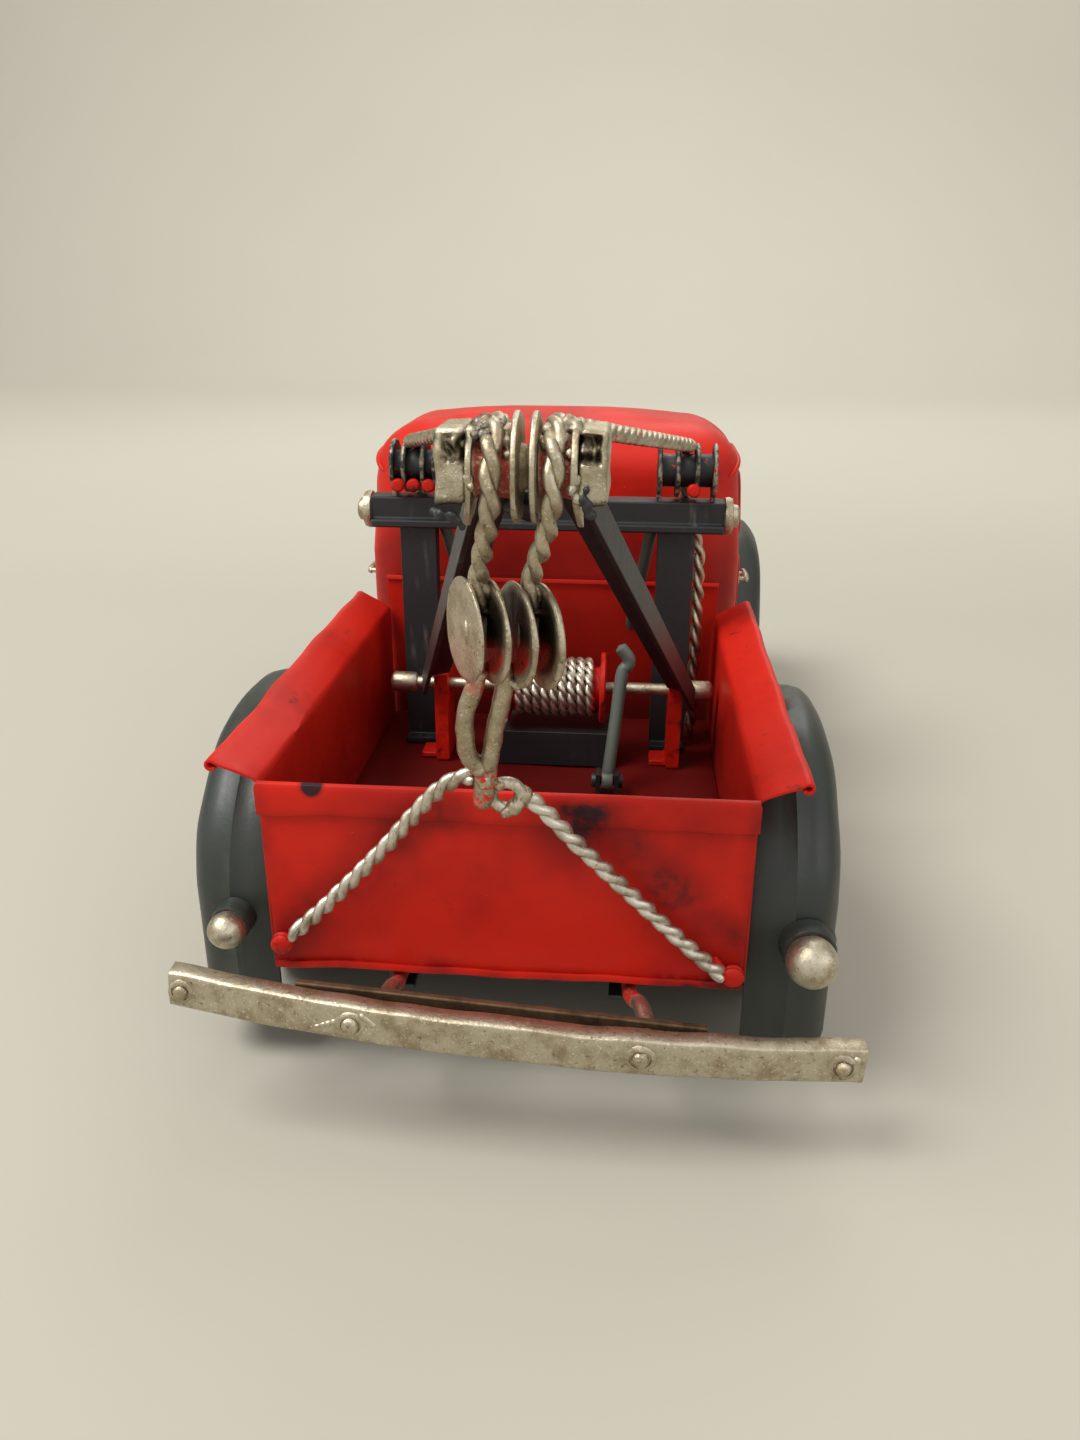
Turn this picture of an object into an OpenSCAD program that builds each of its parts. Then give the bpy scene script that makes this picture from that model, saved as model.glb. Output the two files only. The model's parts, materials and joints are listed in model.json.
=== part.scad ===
// Toy tow truck with a twin boom crane, folded and soldered from tinplate and wire.
// +Z is up, +Y points to the bonnet, and the origin is on the ground under the middle.

/* [Truck] */
// Distance from the tailgate's outer face to the truck's middle
tail_reach = 71; // [68:0.5:76]
// Distance between the two axles
wheel_base = 103; // [96:1:106]
// Rear axle ahead of the tailgate
rear_overhang = 25; // [24:0.5:27]
// Thickness of the folded sheet metal
sheet = 0.6; // [0.4:0.05:0.8]
// Width of the load bed over its side walls
bed_w = 53; // [44:0.5:53]
// Length of the load bed
bed_l = 67.8; // [64:0.5:68]
// Height of the load bed's floor above the ground
floor_z = 20; // [19:0.5:21]
// Height of the side walls' top fold above the ground
wall_top_z = 38; // [36:0.5:40]
// How far the side rails flare out past the walls
rail_flare = 4.3; // [3:0.1:5]
// Diameter of the rails' rolled edge
curl_d = 1.4; // [1.2:0.1:2]
// Height of the tailgate's folded lip
lip_h = 3.4; // [2:0.1:5]
// Height of the tailgate's bottom edge above the ground
gate_low_z = 15.2; // [14:0.1:16]
// Height of the bed's front wall above the ground
headboard_z = 43; // [41:0.5:46]

/* [Cab and front] */
// Width of the cab
cab_w = 60; // [56:0.5:62]
// Length of the cab
cab_l = 38; // [34:0.5:38]
// Height of the cab's roof above the ground
roof_z = 68; // [62:0.5:72]
// Radius of the roof's rounded edge
roof_r = 9; // [7:0.5:11]
// Length of the bonnet
bonnet_l = 42; // [38:0.5:44]
// Width over the front fenders
front_w = 78; // [76:0.5:80]
// Width over the rear fenders
rear_w = 73.6; // [72:0.2:76]
// Width over the front bumper
front_bumper_w = 79; // [74:0.5:84]
// Diameter of the headlamps
headlamp_d = 8.4; // [7:0.2:10]

/* [Wheels] */
// Diameter of the tyres
tyre_d = 25; // [22:0.5:26]
// Width of the tyres
tyre_w = 6.6; // [5:0.1:6.8]
// Diameter of the wheel discs where the tyre sits
rim_d = 15; // [13:0.5:17]
// Diameter of the axles
axle_d = 3; // [2:0.1:3.6]
// Radial gap between an axle and its wheel
wheel_gap = 0.05; // [0.02:0.01:0.09]
// Distance between the middles of the left and right tyres
track = 62.8; // [62:0.2:63.4]

/* [Rear bumper] */
// Length of the rear bumper
bumper_l = 73; // [66:0.5:76]
// Height of both bumpers' faces
bumper_h = 3.9; // [3.6:0.1:5]
// How far the bumper's middle stands behind its ends
bumper_bow = 3; // [1:0.25:4]
// Lean of the rear bumper, left end up
bumper_lean = 4; // [0:0.5:5]
// Sideways shift of the rear bumper
bumper_shift = 1.7; // [0:0.1:2]

/* [Crane] */
// Length of the gantry's cross bar between its end caps
bar_l = 51.2; // [48:0.2:54]
// Height of the bar's underside above the ground
bar_low_z = 53.6; // [50:0.2:56]
// Height of the bar
bar_h = 4.4; // [3:0.1:5]
// Distance between the middles of the two posts
post_span = 37.8; // [36:0.2:40]
// Width of a gantry post
post_w = 5.3; // [4:0.1:6]
// Diameter of the gantry's sheaves
sheave_d = 7.6; // [6:0.1:8]
// Height of the boom head's middle above the ground
head_z = 73.1; // [71:0.1:75]
// Sideways shift of the boom heads
head_shift = 3.5; // [2:0.1:4.5]
// Diameter of the boom head's inner discs
head_disc_d = 9; // [7:0.1:9.4]
// Width of a boom's flange
boom_w = 4; // [3:0.1:5]
// Depth of a boom's web
boom_deep = 3; // [2:0.1:4]
// Diameter of the twisted wire ropes
rope_d = 1.8; // [1.4:0.1:2]
// Diameter of the lower blocks' discs
block_d = 9.6; // [8:0.1:10.4]
// Turn of the lower blocks about the vertical
block_turn = 27; // [20:1:40]
// Diameter of the hook's wires
hook_d = 1.7; // [1.2:0.1:2]

/* [Winch] */
// Diameter of the drum under its rope
drum_d = 6; // [5:0.1:7]
// Diameter of the drum's two flanges
flange_d = 10.4; // [9.8:0.1:10.6]
// Diameter of the winch shaft
shaft_d = 1.8; // [1.4:0.1:2.4]
// Radial gap between the shaft and its bearings
shaft_gap = 0.05; // [0.02:0.01:0.09]
// Height of the shaft above the ground
shaft_z = 31.4; // [31:0.1:32]
// Length of the wound rope along the drum
wound_l = 13.2; // [11:0.2:14]
// Length of the hand lever from its pin to its bend
lever_l = 15.6; // [13:0.2:16]

/* [Hidden] */
$fn = 48;
snug = 0.02;   // lets a union of two shapes join through their shared face

// truck
tail_y = -tail_reach;
bed_x = bed_w / 2;
bed_front_y = tail_y + bed_l;
rail_x = bed_x + rail_flare;
rail_rise = 2.4;
curl_x = rail_x + 0.1;
curl_z = wall_top_z + rail_rise - curl_d / 2 + 0.1;
rear_axle_y = tail_y + rear_overhang;
front_axle_y = rear_axle_y + wheel_base;
wheel_r = tyre_d / 2;
axle_r = axle_d / 2;
frame_x = 13;
frame_w = 3;
frame_low_z = wheel_r - 3.4;
frame_high_z = wheel_r + 3.2;
front_tip_y = tail_reach + 16.7;
red = "#b8210f";
dark = "#2b302e";
black = "#17181a";
nickel = "#a9a08c";
bright = "#c3beb2";

// cab and front
cab_x = cab_w / 2;
cab_back_y = bed_front_y + 1.2;
cab_front_y = cab_back_y + cab_l;
cab_low_z = 13;
belt_z = 46;
skin = 0.7;
bonnet_tip_y = cab_front_y + bonnet_l;
front_x = front_w / 2;
rear_x = rear_w / 2;
board_z = 11;

// crane
gantry_y = tail_y + 57;
bar_top_z = bar_low_z + bar_h;
sheave_z = bar_top_z + 4.2;
head_y = tail_y - 12;
neck_l = 0.8;
head_disc = 0.7;
groove_left = 3;
groove_right = 2.6;
core_r = 2.6;
disc_left_x = head_shift - neck_l / 2 - head_disc;
disc_right_x = head_shift + neck_l / 2 + head_disc;
cheek = 0.6;
cheek_left_x = disc_left_x - groove_left - cheek;
cheek_right_x = disc_right_x + groove_right + cheek;
head_block_w = 2.4;
block_y = tail_y - 9;
block_z = 58.2;
block_plate = 0.6;
block_r = block_d / 2;

// winch
shaft_y = tail_y + 50;
drum_x = 2;
shaft_r = shaft_d / 2;
flange_t = 0.9;
foot_t = 2;
lever_x = 10.2;
lever_y = tail_y + 38;
lever_z = floor_z + 1.9;
lever_d = 1.8;
lever_pin_r = 0.6;

// ---------------------------------------------------------------- helpers

function unit(v) = v / norm(v);
function mix(a, b, t) = a * (1 - t) + b * t;
// point t of the way along a smooth curve from b to c, with neighbours a and d
function spline(a, b, c, d, t) =
    0.5 * (2 * b + (c - a) * t + (2 * a - 5 * b + 4 * c - d) * t * t
        + (3 * b - a - 3 * c + d) * t * t * t);
// a smooth curve through the points p, with n steps between each pair
function smooth(p, n) = [
    for (i = [0:len(p) - 2], k = [0:n - 1])
        spline(p[max(i - 1, 0)], p[i], p[i + 1], p[min(i + 2, len(p) - 1)], k / n),
    p[len(p) - 1]];
function heading(p, i) = unit(p[min(i + 1, len(p) - 1)] - p[max(i - 1, 0)]);

// a round wire along the points p; side is a direction that the wire never runs along,
// and tip is the share of its thickness that is left at its last point
module wire(p, d, side = [1, 0, 0], sides = 8, tip = 1) {
    last = len(p) - 1;
    rings = [
        for (i = [0:last])
            let (t = heading(p, i), n = unit(cross(t, side)), b = cross(t, n),
                r = d / 2 * (i > last - 3 ? mix(tip, 1, (last - i) / 3) : 1))
                for (k = [0:sides - 1])
                    p[i] + r * (cos(360 * k / sides) * n + sin(360 * k / sides) * b)];
    walls = [
        for (i = [0:last - 1], k = [0:sides - 1])
            let (a = i * sides + k, b = i * sides + (k + 1) % sides)
                [a, a + sides, b + sides, b]];
    polyhedron(rings, concat(walls, [[for (k = [0:sides - 1]) k]],
        [[for (k = [sides - 1:-1:0]) last * sides + k]]), convexity = 6);
}

// draws its child at both sides of the truck
module both_sides() {
    children();
    mirror([1, 0, 0]) children();
}

// a cylinder along X from x = a to x = b, through y, z
module rod_x(a, b, y, z, r) translate([a, y, z]) rotate([0, 90, 0]) cylinder(r = r, h = b - a);

// a cylinder along Y from y = a to y = b, through x, z
module rod_y(a, b, x, z, r) translate([x, a, z]) rotate([-90, 0, 0]) cylinder(r = r, h = b - a);

// a box from the corner a to the corner b
module box(a, b) translate(a) cube(b - a);

// a flat rectangle w by h with its middle at the origin and corners rounded to r
module soft_rect(w, h, r) {
    square([w, h - 2 * r], center = true);
    square([w - 2 * r, h], center = true);
    for (sx = [-1, 1], sy = [-1, 1])
        translate([sx * (w / 2 - r), sy * (h / 2 - r)]) circle(r, $fn = 32);
}

// an outline drawn with y across and z up, thick from x = a to x = b
module side_slab(a, b) translate([a, 0, 0]) rotate([90, 0, 90]) linear_extrude(b - a) children();

// an outline drawn with x across and z up, thick from y = a to y = b
module back_slab(a, b) translate([0, b, 0]) rotate([90, 0, 0]) linear_extrude(b - a) children();

// ---------------------------------------------------------------- chassis

module frame_rail() difference() {
    box([frame_x - frame_w / 2, tail_y + 5, frame_low_z],
        [frame_x + frame_w / 2, bonnet_tip_y - 2, frame_high_z]);
    box([frame_x - frame_w, tail_y, frame_low_z + sheet],
        [frame_x + frame_w / 2 - sheet, bonnet_tip_y, frame_high_z - sheet]);
    for (y = [rear_axle_y, front_axle_y]) rod_x(0, 2 * frame_x, y, wheel_r, axle_r);
}

// two rails, their cross members, the bed's sills and the front bumper's irons, soldered
module chassis_frame() color(dark) {
    both_sides() {
        frame_rail();
        box([frame_x - 0.6, bonnet_tip_y - 2.4, front_bumper_z - 1.4],
            [frame_x + 0.6, front_bumper_y + 0.1, front_bumper_z + 1.4]);
    }
    inside = frame_x + frame_w / 2 - sheet;
    for (y = [tail_y + 10, tail_y + 52, cab_front_y - 6, bonnet_tip_y - 8])
        box([-inside - snug, y, frame_low_z + sheet - snug],
            [inside + snug, y + 3, frame_high_z - sheet + snug]);
    for (y = [tail_y + 7, rear_axle_y + 16, bed_front_y - 8])
        box([-bed_x + sheet, y, frame_high_z - snug], [bed_x - sheet, y + 3, floor_z - sheet]);
}

// one axle rod with a collar inside each wheel and a peened head outside it
hub_in = track / 2 - 2.6;
hub_out = track / 2 + 1.6;
module axle(y) {
    rod_x(-hub_out - 0.3, hub_out + 0.3, y, wheel_r, axle_r);
    both_sides() {
        rod_x(hub_in - 0.9, hub_in - 0.2, y, wheel_r, axle_r + 1);
        rod_x(hub_out + 0.2, hub_out + 0.8, y, wheel_r, axle_r + 0.7);
    }
}
module axles() color(nickel) for (y = [rear_axle_y, front_axle_y]) axle(y);

// ---------------------------------------------------------------- wheels

// half of a tyre's section, with the axle along the drawing's y
module tyre_section() {
    bead = rim_d / 2;
    edge = tyre_w / 2;
    polygon([[bead, -edge + 0.8], [bead + 1.2, -edge], [wheel_r - 2.4, -edge],
        [wheel_r - 0.9, -edge + 0.7], [wheel_r - 0.25, -edge + 1.6], [wheel_r, -0.5],
        [wheel_r, 0.5], [wheel_r - 0.25, edge - 1.6], [wheel_r - 0.9, edge - 0.7],
        [wheel_r - 2.4, edge], [bead + 1.2, edge], [bead, edge - 0.8]]);
}

module tyre(x, y) color("#1d1d1e") translate([x, y, wheel_r]) rotate([0, 90, 0])
    rotate_extrude($fn = 96) tyre_section();

// a pressed disc with its hub and a domed cap over the axle's head; out is +1 or -1
module wheel(x, y, out) color(red) translate([x, y, wheel_r]) rotate([0, out * 90, 0]) {
    bore = axle_r + wheel_gap;
    seat_w = tyre_w / 2 - 0.8;
    head_r = axle_r + 0.7 + 0.4;
    rotate_extrude($fn = 72) polygon([
        [bore, -2.6], [bore + 1.4, -2.6], [bore + 1.4, -0.6], [rim_d / 2 - 1.3, -0.4],
        [rim_d / 2 - 0.9, -seat_w], [rim_d / 2, -seat_w], [rim_d / 2, seat_w],
        [rim_d / 2 - 0.9, seat_w], [rim_d / 2 - 1.3, 0.8], [head_r + 1.4, 1.2],
        [head_r + 1.4, 2.0], [head_r + 0.9, 2.9], [head_r - 0.4, 3.5], [0, 3.7],
        [0, 2.9], [head_r, 2.6], [head_r, 1.6], [bore, 1.6]]);
}

module tyre_rear_left() tyre(-track / 2, rear_axle_y);
module tyre_rear_right() tyre(track / 2, rear_axle_y);
module tyre_front_left() tyre(-track / 2, front_axle_y);
module tyre_front_right() tyre(track / 2, front_axle_y);
module wheel_rear_left() wheel(-track / 2, rear_axle_y, -1);
module wheel_rear_right() wheel(track / 2, rear_axle_y, 1);
module wheel_front_left() wheel(-track / 2, front_axle_y, -1);
module wheel_front_right() wheel(track / 2, front_axle_y, 1);

// ---------------------------------------------------------------- load bed

module bed_floor() color(red)
    box([-bed_x + sheet, tail_y + sheet, floor_z - sheet],
        [bed_x - sheet, bed_front_y - sheet, floor_z]);

// the right side: an upright wall, a flared rail and its rolled edge
module bed_side() {
    low_z = gate_low_z + 0.4;
    top_z = wall_top_z + rail_rise;
    tilt = atan2(rail_rise, rail_flare);
    back_slab(tail_y + sheet, bed_front_y - sheet)
        polygon([[bed_x - sheet, low_z], [bed_x, low_z], [bed_x, wall_top_z - sheet],
            [rail_x + sheet * sin(tilt), top_z - sheet * cos(tilt)], [rail_x, top_z],
            [bed_x - sheet, wall_top_z]]);
    rod_y(tail_y - 0.2, bed_front_y - sheet, curl_x, curl_z, curl_d / 2);
}
module bed_side_left() color(red) mirror([1, 0, 0]) bed_side();
module bed_side_right() color(red) bed_side();

module headboard() color(red)
    box([-bed_x, bed_front_y - sheet, frame_high_z], [bed_x, bed_front_y, headboard_z]);

module tailgate() color(red) {
    box([-bed_x, tail_y, gate_low_z], [bed_x, tail_y + sheet, wall_top_z]);
    box([-bed_x, tail_y - sheet, wall_top_z - lip_h], [bed_x, tail_y + snug, wall_top_z]);
    box([-bed_x, tail_y - 0.35, gate_low_z], [bed_x, tail_y + snug, gate_low_z + 0.8]);
}

// ---------------------------------------------------------------- fenders and boards

// side outlines, drawn inwards by g: up behind the wheel, over it and down in front
module rear_outline(g) {
    y = rear_axle_y;
    polygon(concat([[y - 23 + g, 6]], smooth([[y - 23 + g, 23], [y - 21.4 + g, 28],
        [y - 17 + g * 0.8, 33.6 - g * 0.6], [y - 9, 38.6 - g], [y, 39.8 - g], [y + 9, 38.6 - g],
        [y + 17 - g * 0.8, 34.2 - g * 0.6], [y + 22.8 - g, 26], [y + 26 - g, 12]], 3),
        [[y + 26 - g, 6]]));
}
module front_outline(g) {
    y = front_axle_y;
    polygon(concat([[y - 27.4 + g, 6]], smooth([[y - 26 + g, 12], [y - 20.4 + g * 0.8, 26 - g * 0.6],
        [y - 10, 38 - g], [y, 41 - g], [y + 10, 40 - g], [y + 17.6 - g * 0.8, 35.4 - g * 0.6],
        [y + 21.6 - g, 27], [y + 22.8 - g, 18]], 3), [[y + 22.8 - g, 6]]));
}

// a crowned solid between two side faces: its first outline at the inner face, its second at
// the crown, and its third and fourth where it rounds over to the outer face
crown_flat = 1.6;
module crowned(inner, crown, outer) hull() {
    side_slab(inner, inner + 0.1) children(0);
    side_slab(crown, crown + crown_flat) children(1);
    side_slab(outer - 1.4, outer - 1.3) children(2);
    side_slab(outer - 0.1, outer) children(3);
}
// the part of an outline that is below z = top
module below(top) intersection() {
    children();
    translate([-200, 0]) square([400, top]);
}

// what the wheel and its tyre need under a fender: an arch, and nothing under board height
module wheel_room(inner, outer, y) {
    arch_r = wheel_r + 1.9;
    rod_x(inner - 1, outer + 1, y, wheel_r, arch_r);
    box([inner - 1, y - arch_r, -1], [outer + 1, y + arch_r, wheel_r]);
    box([inner - 1, y + wheel_r, -1], [outer + 1, y + 40, board_z]);
}

rail_low_z = wall_top_z - sheet - 0.8;
module rear_fender() difference() {
    crowned(bed_x, rear_x - 3.8, rear_x) {
        below(rail_low_z) rear_outline(0);
        rear_outline(0);
        rear_outline(2.4);
        rear_outline(4.6);
    }
    crowned(bed_x + skin, rear_x - 3.8 - skin, rear_x - skin) {
        below(rail_low_z - skin) rear_outline(skin);
        rear_outline(skin);
        rear_outline(2.4 + skin);
        rear_outline(4.6 + skin);
    }
    wheel_room(bed_x, rear_x, rear_axle_y);
    box([bed_x + skin, rear_axle_y - 23 + skin, 0], [rear_x - skin, rear_axle_y, 7]);
}
module rear_fender_left() color(dark) mirror([1, 0, 0]) rear_fender();
module rear_fender_right() color(dark) rear_fender();

fender_in_x = 24;
apron_z = 29.4;
stud_r = 1.2;
module front_fender() difference() {
    crowned(fender_in_x, front_x - 6, front_x) {
        front_outline(0);
        front_outline(0);
        front_outline(2.6);
        front_outline(5);
    }
    crowned(fender_in_x + skin, front_x - 6 - skin, front_x - skin) {
        front_outline(skin);
        front_outline(skin);
        front_outline(2.6 + skin);
        front_outline(5 + skin);
    }
    wheel_room(fender_in_x, front_x, front_axle_y);
    box([fender_in_x - 1, front_axle_y - 40, -1], [front_x + 1, front_axle_y, board_z]);
    box([fender_in_x - 1, front_axle_y, -1], [front_x + 1, front_axle_y + 40, board_z + 0.2]);
    box([0, cab_back_y, 0], [cab_x + 0.05, cab_front_y + 0.05, roof_z]);
    translate([lamp_x, lamp_y, 20]) cylinder(r = stud_r + snug, h = roof_z);
}
// a shelf that closes the gap between the fender and the bonnet's flank
module front_apron() difference() {
    box([4, cab_front_y + 0.3, apron_z], [fender_in_x + snug, bonnet_tip_y - 5, apron_z + skin]);
    bonnet_form(-0.1);
}
module front_fender_left() color(dark) mirror([1, 0, 0]) {
    front_fender();
    front_apron();
}
module front_fender_right() color(dark) {
    front_fender();
    front_apron();
}

// a step with a folded outer edge and raised ribs, that runs in to the frame under the cab,
// with an upright strip that the cab's flank stands on
module running_board() {
    back_y = rear_axle_y + wheel_r + 1.5;
    front_y = front_axle_y - wheel_r - 3.5;
    box([frame_x + frame_w / 2, back_y, board_z - 0.8], [rear_x, front_y, board_z]);
    box([rear_x - sheet, back_y, board_z - 2.6], [rear_x, front_y, board_z - 0.8 + snug]);
    box([cab_x - skin, cab_back_y + 6, board_z - snug], [cab_x, cab_front_y - 6, cab_low_z]);
    for (x = [cab_x + 1.6:1.5:rear_x - 1])
        box([x, rear_axle_y + 28, board_z - snug], [x + 0.7, front_axle_y - 29, board_z + 0.3]);
}
module running_boards() color(dark) both_sides() running_board();

// ---------------------------------------------------------------- cab

// the cab's outer form drawn in by g all round
module cab_form(g) hull() {
    roof_x = cab_x - roof_r - 0.8;
    both_sides() {
        translate([cab_x - 6, cab_back_y + 6, cab_low_z - (g > 0 ? 5 : 0)])
            cylinder(r = 6 - g, h = belt_z - cab_low_z + (g > 0 ? 5 : 0), $fn = 32);
        translate([cab_x - 5, cab_front_y - 5, cab_low_z - (g > 0 ? 5 : 0)])
            cylinder(r = 5 - g, h = belt_z - cab_low_z + (g > 0 ? 5 : 0), $fn = 32);
        for (y = [cab_back_y + roof_r, cab_front_y - 7 - roof_r])
            translate([roof_x, y, roof_z - roof_r]) sphere(r = roof_r - g, $fn = 32);
    }
}

sill_z = 48.4;
window_h = 10;
door_y = cab_back_y + 17.5;
module cab_shell() color(red) difference() {
    cab_form(0);
    cab_form(skin);
    side_slab(-cab_x - 1, cab_x + 1) translate([door_y, sill_z + window_h / 2])
        soft_rect(17, window_h, 2.4);
    back_slab(cab_front_y - 16, cab_front_y + 1) for (s = [-1, 1])
        translate([s * 11.6, sill_z + window_h / 2]) soft_rect(21.6, window_h - 0.4, 2.6);
    box([-frame_x - 4, cab_back_y - 1, 0], [frame_x + 4, cab_front_y + 1, frame_high_z + 0.4]);
}

// one pressed door skin each side, standing on the cab's flat flank
module door_panels() color(red) both_sides()
    side_slab(cab_x, cab_x + 0.5) translate([door_y, (cab_low_z + belt_z) / 2 + 0.6])
        soft_rect(20, belt_z - cab_low_z - 2.4, 2.2);

module door_handles() color(nickel) both_sides() {
    z = belt_z - 5;
    for (y = [door_y - 8, door_y - 4.4]) rod_x(cab_x + 0.5, cab_x + 1.7, y, z, 0.4);
    rod_y(door_y - 8.6, door_y - 2, cab_x + 1.9, z, 0.55);
}

// the bench: a box base, a cushion and a backrest
module seat() color("#3a2a20") {
    box([-21, cab_back_y + 3, frame_high_z], [21, cab_back_y + 15, frame_high_z + 9]);
    box([-22, cab_back_y + 3, frame_high_z + 9 - snug], [22, cab_back_y + 17, frame_high_z + 13]);
    box([-22, cab_back_y + 3, frame_high_z + 13 - snug], [22, cab_back_y + 6.5, frame_high_z + 25]);
}

wheel_x = -11;
module steering_wheel() color(black)
    difference() {
        translate([wheel_x, cab_front_y - 13, 40.4]) rotate([58, 0, 0]) {
            rotate_extrude() translate([5.4, 0]) circle(0.6, $fn = 24);
            for (a = [90, 210, 330])
                rotate([0, 0, a]) translate([0, -0.4, -0.3]) cube([5.2, 0.8, 0.6]);
            cylinder(r = 1.2, h = 1, center = true);
            translate([0, 0, -15.6]) cylinder(r = 0.6, h = 15.6);
        }
        box([-cab_x, cab_front_y - skin, 20], [0, cab_front_y + 5, 50]);
    }

// ---------------------------------------------------------------- bonnet and face

bonnet_back_x = 23.9;
bonnet_tip_x = 16;
module bonnet_form(g) hull() both_sides() {
    d = g > 0 ? 1 : 0;
    translate([13.5, cab_front_y - d, 39.6]) rotate([-90, 0, 0])
        cylinder(r = 8.4 - g, h = 1, $fn = 32);
    translate([bonnet_back_x - 2, cab_front_y - d, 24 - 6 * d]) cube([2 - g, 1, 8]);
    translate([bonnet_tip_x - 8, bonnet_tip_y - 8, 35]) sphere(r = 8 - g, $fn = 32);
    translate([bonnet_tip_x - 8, bonnet_tip_y - 8, 24 - 6 * d]) cylinder(r = 8 - g, h = 6, $fn = 32);
}
module bonnet() color(red) difference() {
    bonnet_form(0);
    bonnet_form(skin);
    box([-9, bonnet_tip_y - 8, 15], [9, bonnet_tip_y + 1, 35]);
}

// an upright panel with a row of bars across it, between the front fenders
module grille() {
    y = bonnet_tip_y - 7;
    color(red) box([-fender_in_x, y - 0.8, frame_high_z], [fender_in_x, y, 23.6]);
    color(nickel) for (i = [0:3])
        translate([0, y - snug, frame_high_z + 1.6 + i * 4.2])
            box([-19 + i * 3.4, 0, 0], [19 - i * 3.4, 2.2, 1.6]);
    color(nickel) box([-1, y - 0.8, frame_high_z + 1.2], [1, y + 0.6, 33]);
}

lamp_x = 28.4;
lamp_z = 45.4;
lamp_y = front_axle_y + 12.5;
lamp_r = headlamp_d / 2;
// a bullet shell on a stud that goes through the fender
module headlamp_shells() color(dark) both_sides() difference() {
    union() {
        rod_y(lamp_y - 3, lamp_y + 3, lamp_x, lamp_z, lamp_r);
        translate([lamp_x, lamp_y - 3, lamp_z]) sphere(r = lamp_r);
        translate([lamp_x, lamp_y, lamp_z - lamp_r - 3.4]) cylinder(r = stud_r, h = 4);
    }
    rod_y(lamp_y - 2, lamp_y + 4, lamp_x, lamp_z, lamp_r - 0.7);
}
module headlamp_rims() color(nickel) both_sides()
    translate([lamp_x, lamp_y + 3, lamp_z]) rotate([-90, 0, 0]) rotate_extrude()
        translate([lamp_r - 0.6, 0]) polygon([[0, 0], [1.1, 0], [1.1, 0.7], [0.5, 1.2], [0, 1.2]]);
module headlamp_lenses() color("white") both_sides()
    translate([lamp_x, lamp_y + 2.2, lamp_z]) rotate([-90, 0, 0]) rotate_extrude()
        polygon([[0, 0], [lamp_r - 0.7, 0], [lamp_r - 0.7, 0.8], [lamp_r - 2, 1.6], [0, 2.1]]);

front_bumper_z = 15;
front_bow = 3.4;
front_bumper_r = (front_bumper_w * front_bumper_w / 4 + front_bow * front_bow) / (2 * front_bow);
front_bumper_a = asin(front_bumper_w / 2 / front_bumper_r);
front_bumper_y = front_tip_y - 2.2;
module front_bumper() color(nickel) translate([0, front_tip_y - front_bumper_r, front_bumper_z])
    rotate([0, 0, 90 - front_bumper_a]) rotate_extrude(angle = 2 * front_bumper_a, $fn = 256)
        translate([front_bumper_r, 0]) channel_section(bumper_h, -1);
// a bumper's channel: face out at x = 0, flanges towards the truck
module channel_section(h, s) {
    deep = 2.2;
    polygon([[0, -h / 2], [0, h / 2], [s * deep, h / 2], [s * deep, h / 2 - 0.5],
        [s * 0.6, h / 2 - 0.5], [s * 0.6, 0.5 - h / 2], [s * deep, 0.5 - h / 2],
        [s * deep, -h / 2]]);
}
// ---------------------------------------------------------------- rear bumper and lamps

bumper_y = tail_y - 12.2;
bumper_z = 15.35;
bumper_r = (bumper_l * bumper_l / 4 + bumper_bow * bumper_bow) / (2 * bumper_bow);
bumper_a = asin(bumper_l / 2 / bumper_r);
// places its child on the leaning bumper: origin at the face's middle, face towards -Y
module on_bumper() translate([bumper_shift, bumper_y, bumper_z]) rotate([0, bumper_lean, 0]) children();

module rear_bumper() color(nickel) on_bumper() translate([0, bumper_r, 0])
    rotate([0, 0, 270 - bumper_a]) rotate_extrude(angle = 2 * bumper_a, $fn = 256)
        translate([bumper_r, 0]) channel_section(bumper_h, -1);

// a straight bar across the bumper's back, that meets its flanges at the left end
backing_y = bumper_r - sqrt(bumper_r * bumper_r - 23 * 23) + 2.2;
module bumper_backing_bar() color("#7d715c") on_bumper()
    box([-23, backing_y, -1.8], [20, backing_y + 0.8, bumper_h / 2 + 0.3]);

// bolt heads along both bumpers' faces, each turned to stand square on the bow
module bolt_heads() color(nickel) {
    on_bumper() for (x = [-35, -16.4, 13.3, 34]) bolt_head(x, bumper_r);
    rotate([0, 0, 180]) translate([0, -front_tip_y, front_bumper_z])
        for (x = [-34, -frame_x, frame_x, 34]) bolt_head(x, front_bumper_r);
}
// a low domed head at x along a bow of radius r whose middle is the origin
module bolt_head(x, r) translate([0, r, 0]) rotate([0, 0, asin(x / r)]) translate([0, -r, 0])
    rotate([90, 0, 0]) {
        cylinder(r = 1.35, h = 0.5);
        translate([0, 0, 0.5 - snug]) cylinder(r1 = 1.15, r2 = 0.7, h = 0.6);
    }

iron_d = 1.7;
module bumper_wire_irons() color(nickel) {
    left = [[-12.4, tail_y + 6, 13.4], [-12.2, tail_y, 13.8], [-12, tail_y - 4, 15.9],
        [-12, tail_y - 7, 16.7], [-12, tail_y - 9.1, 16.7]];
    right = [[13.6, tail_y + 6, 12.6], [14, tail_y, 13.5], [15, tail_y - 4, 15.2],
        [15.6, tail_y - 7, 15.3], [15.8, tail_y - 9.1, 15.1]];
    wire(smooth(left, 4), iron_d);
    wire(smooth(right, 4), iron_d);
}

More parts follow.
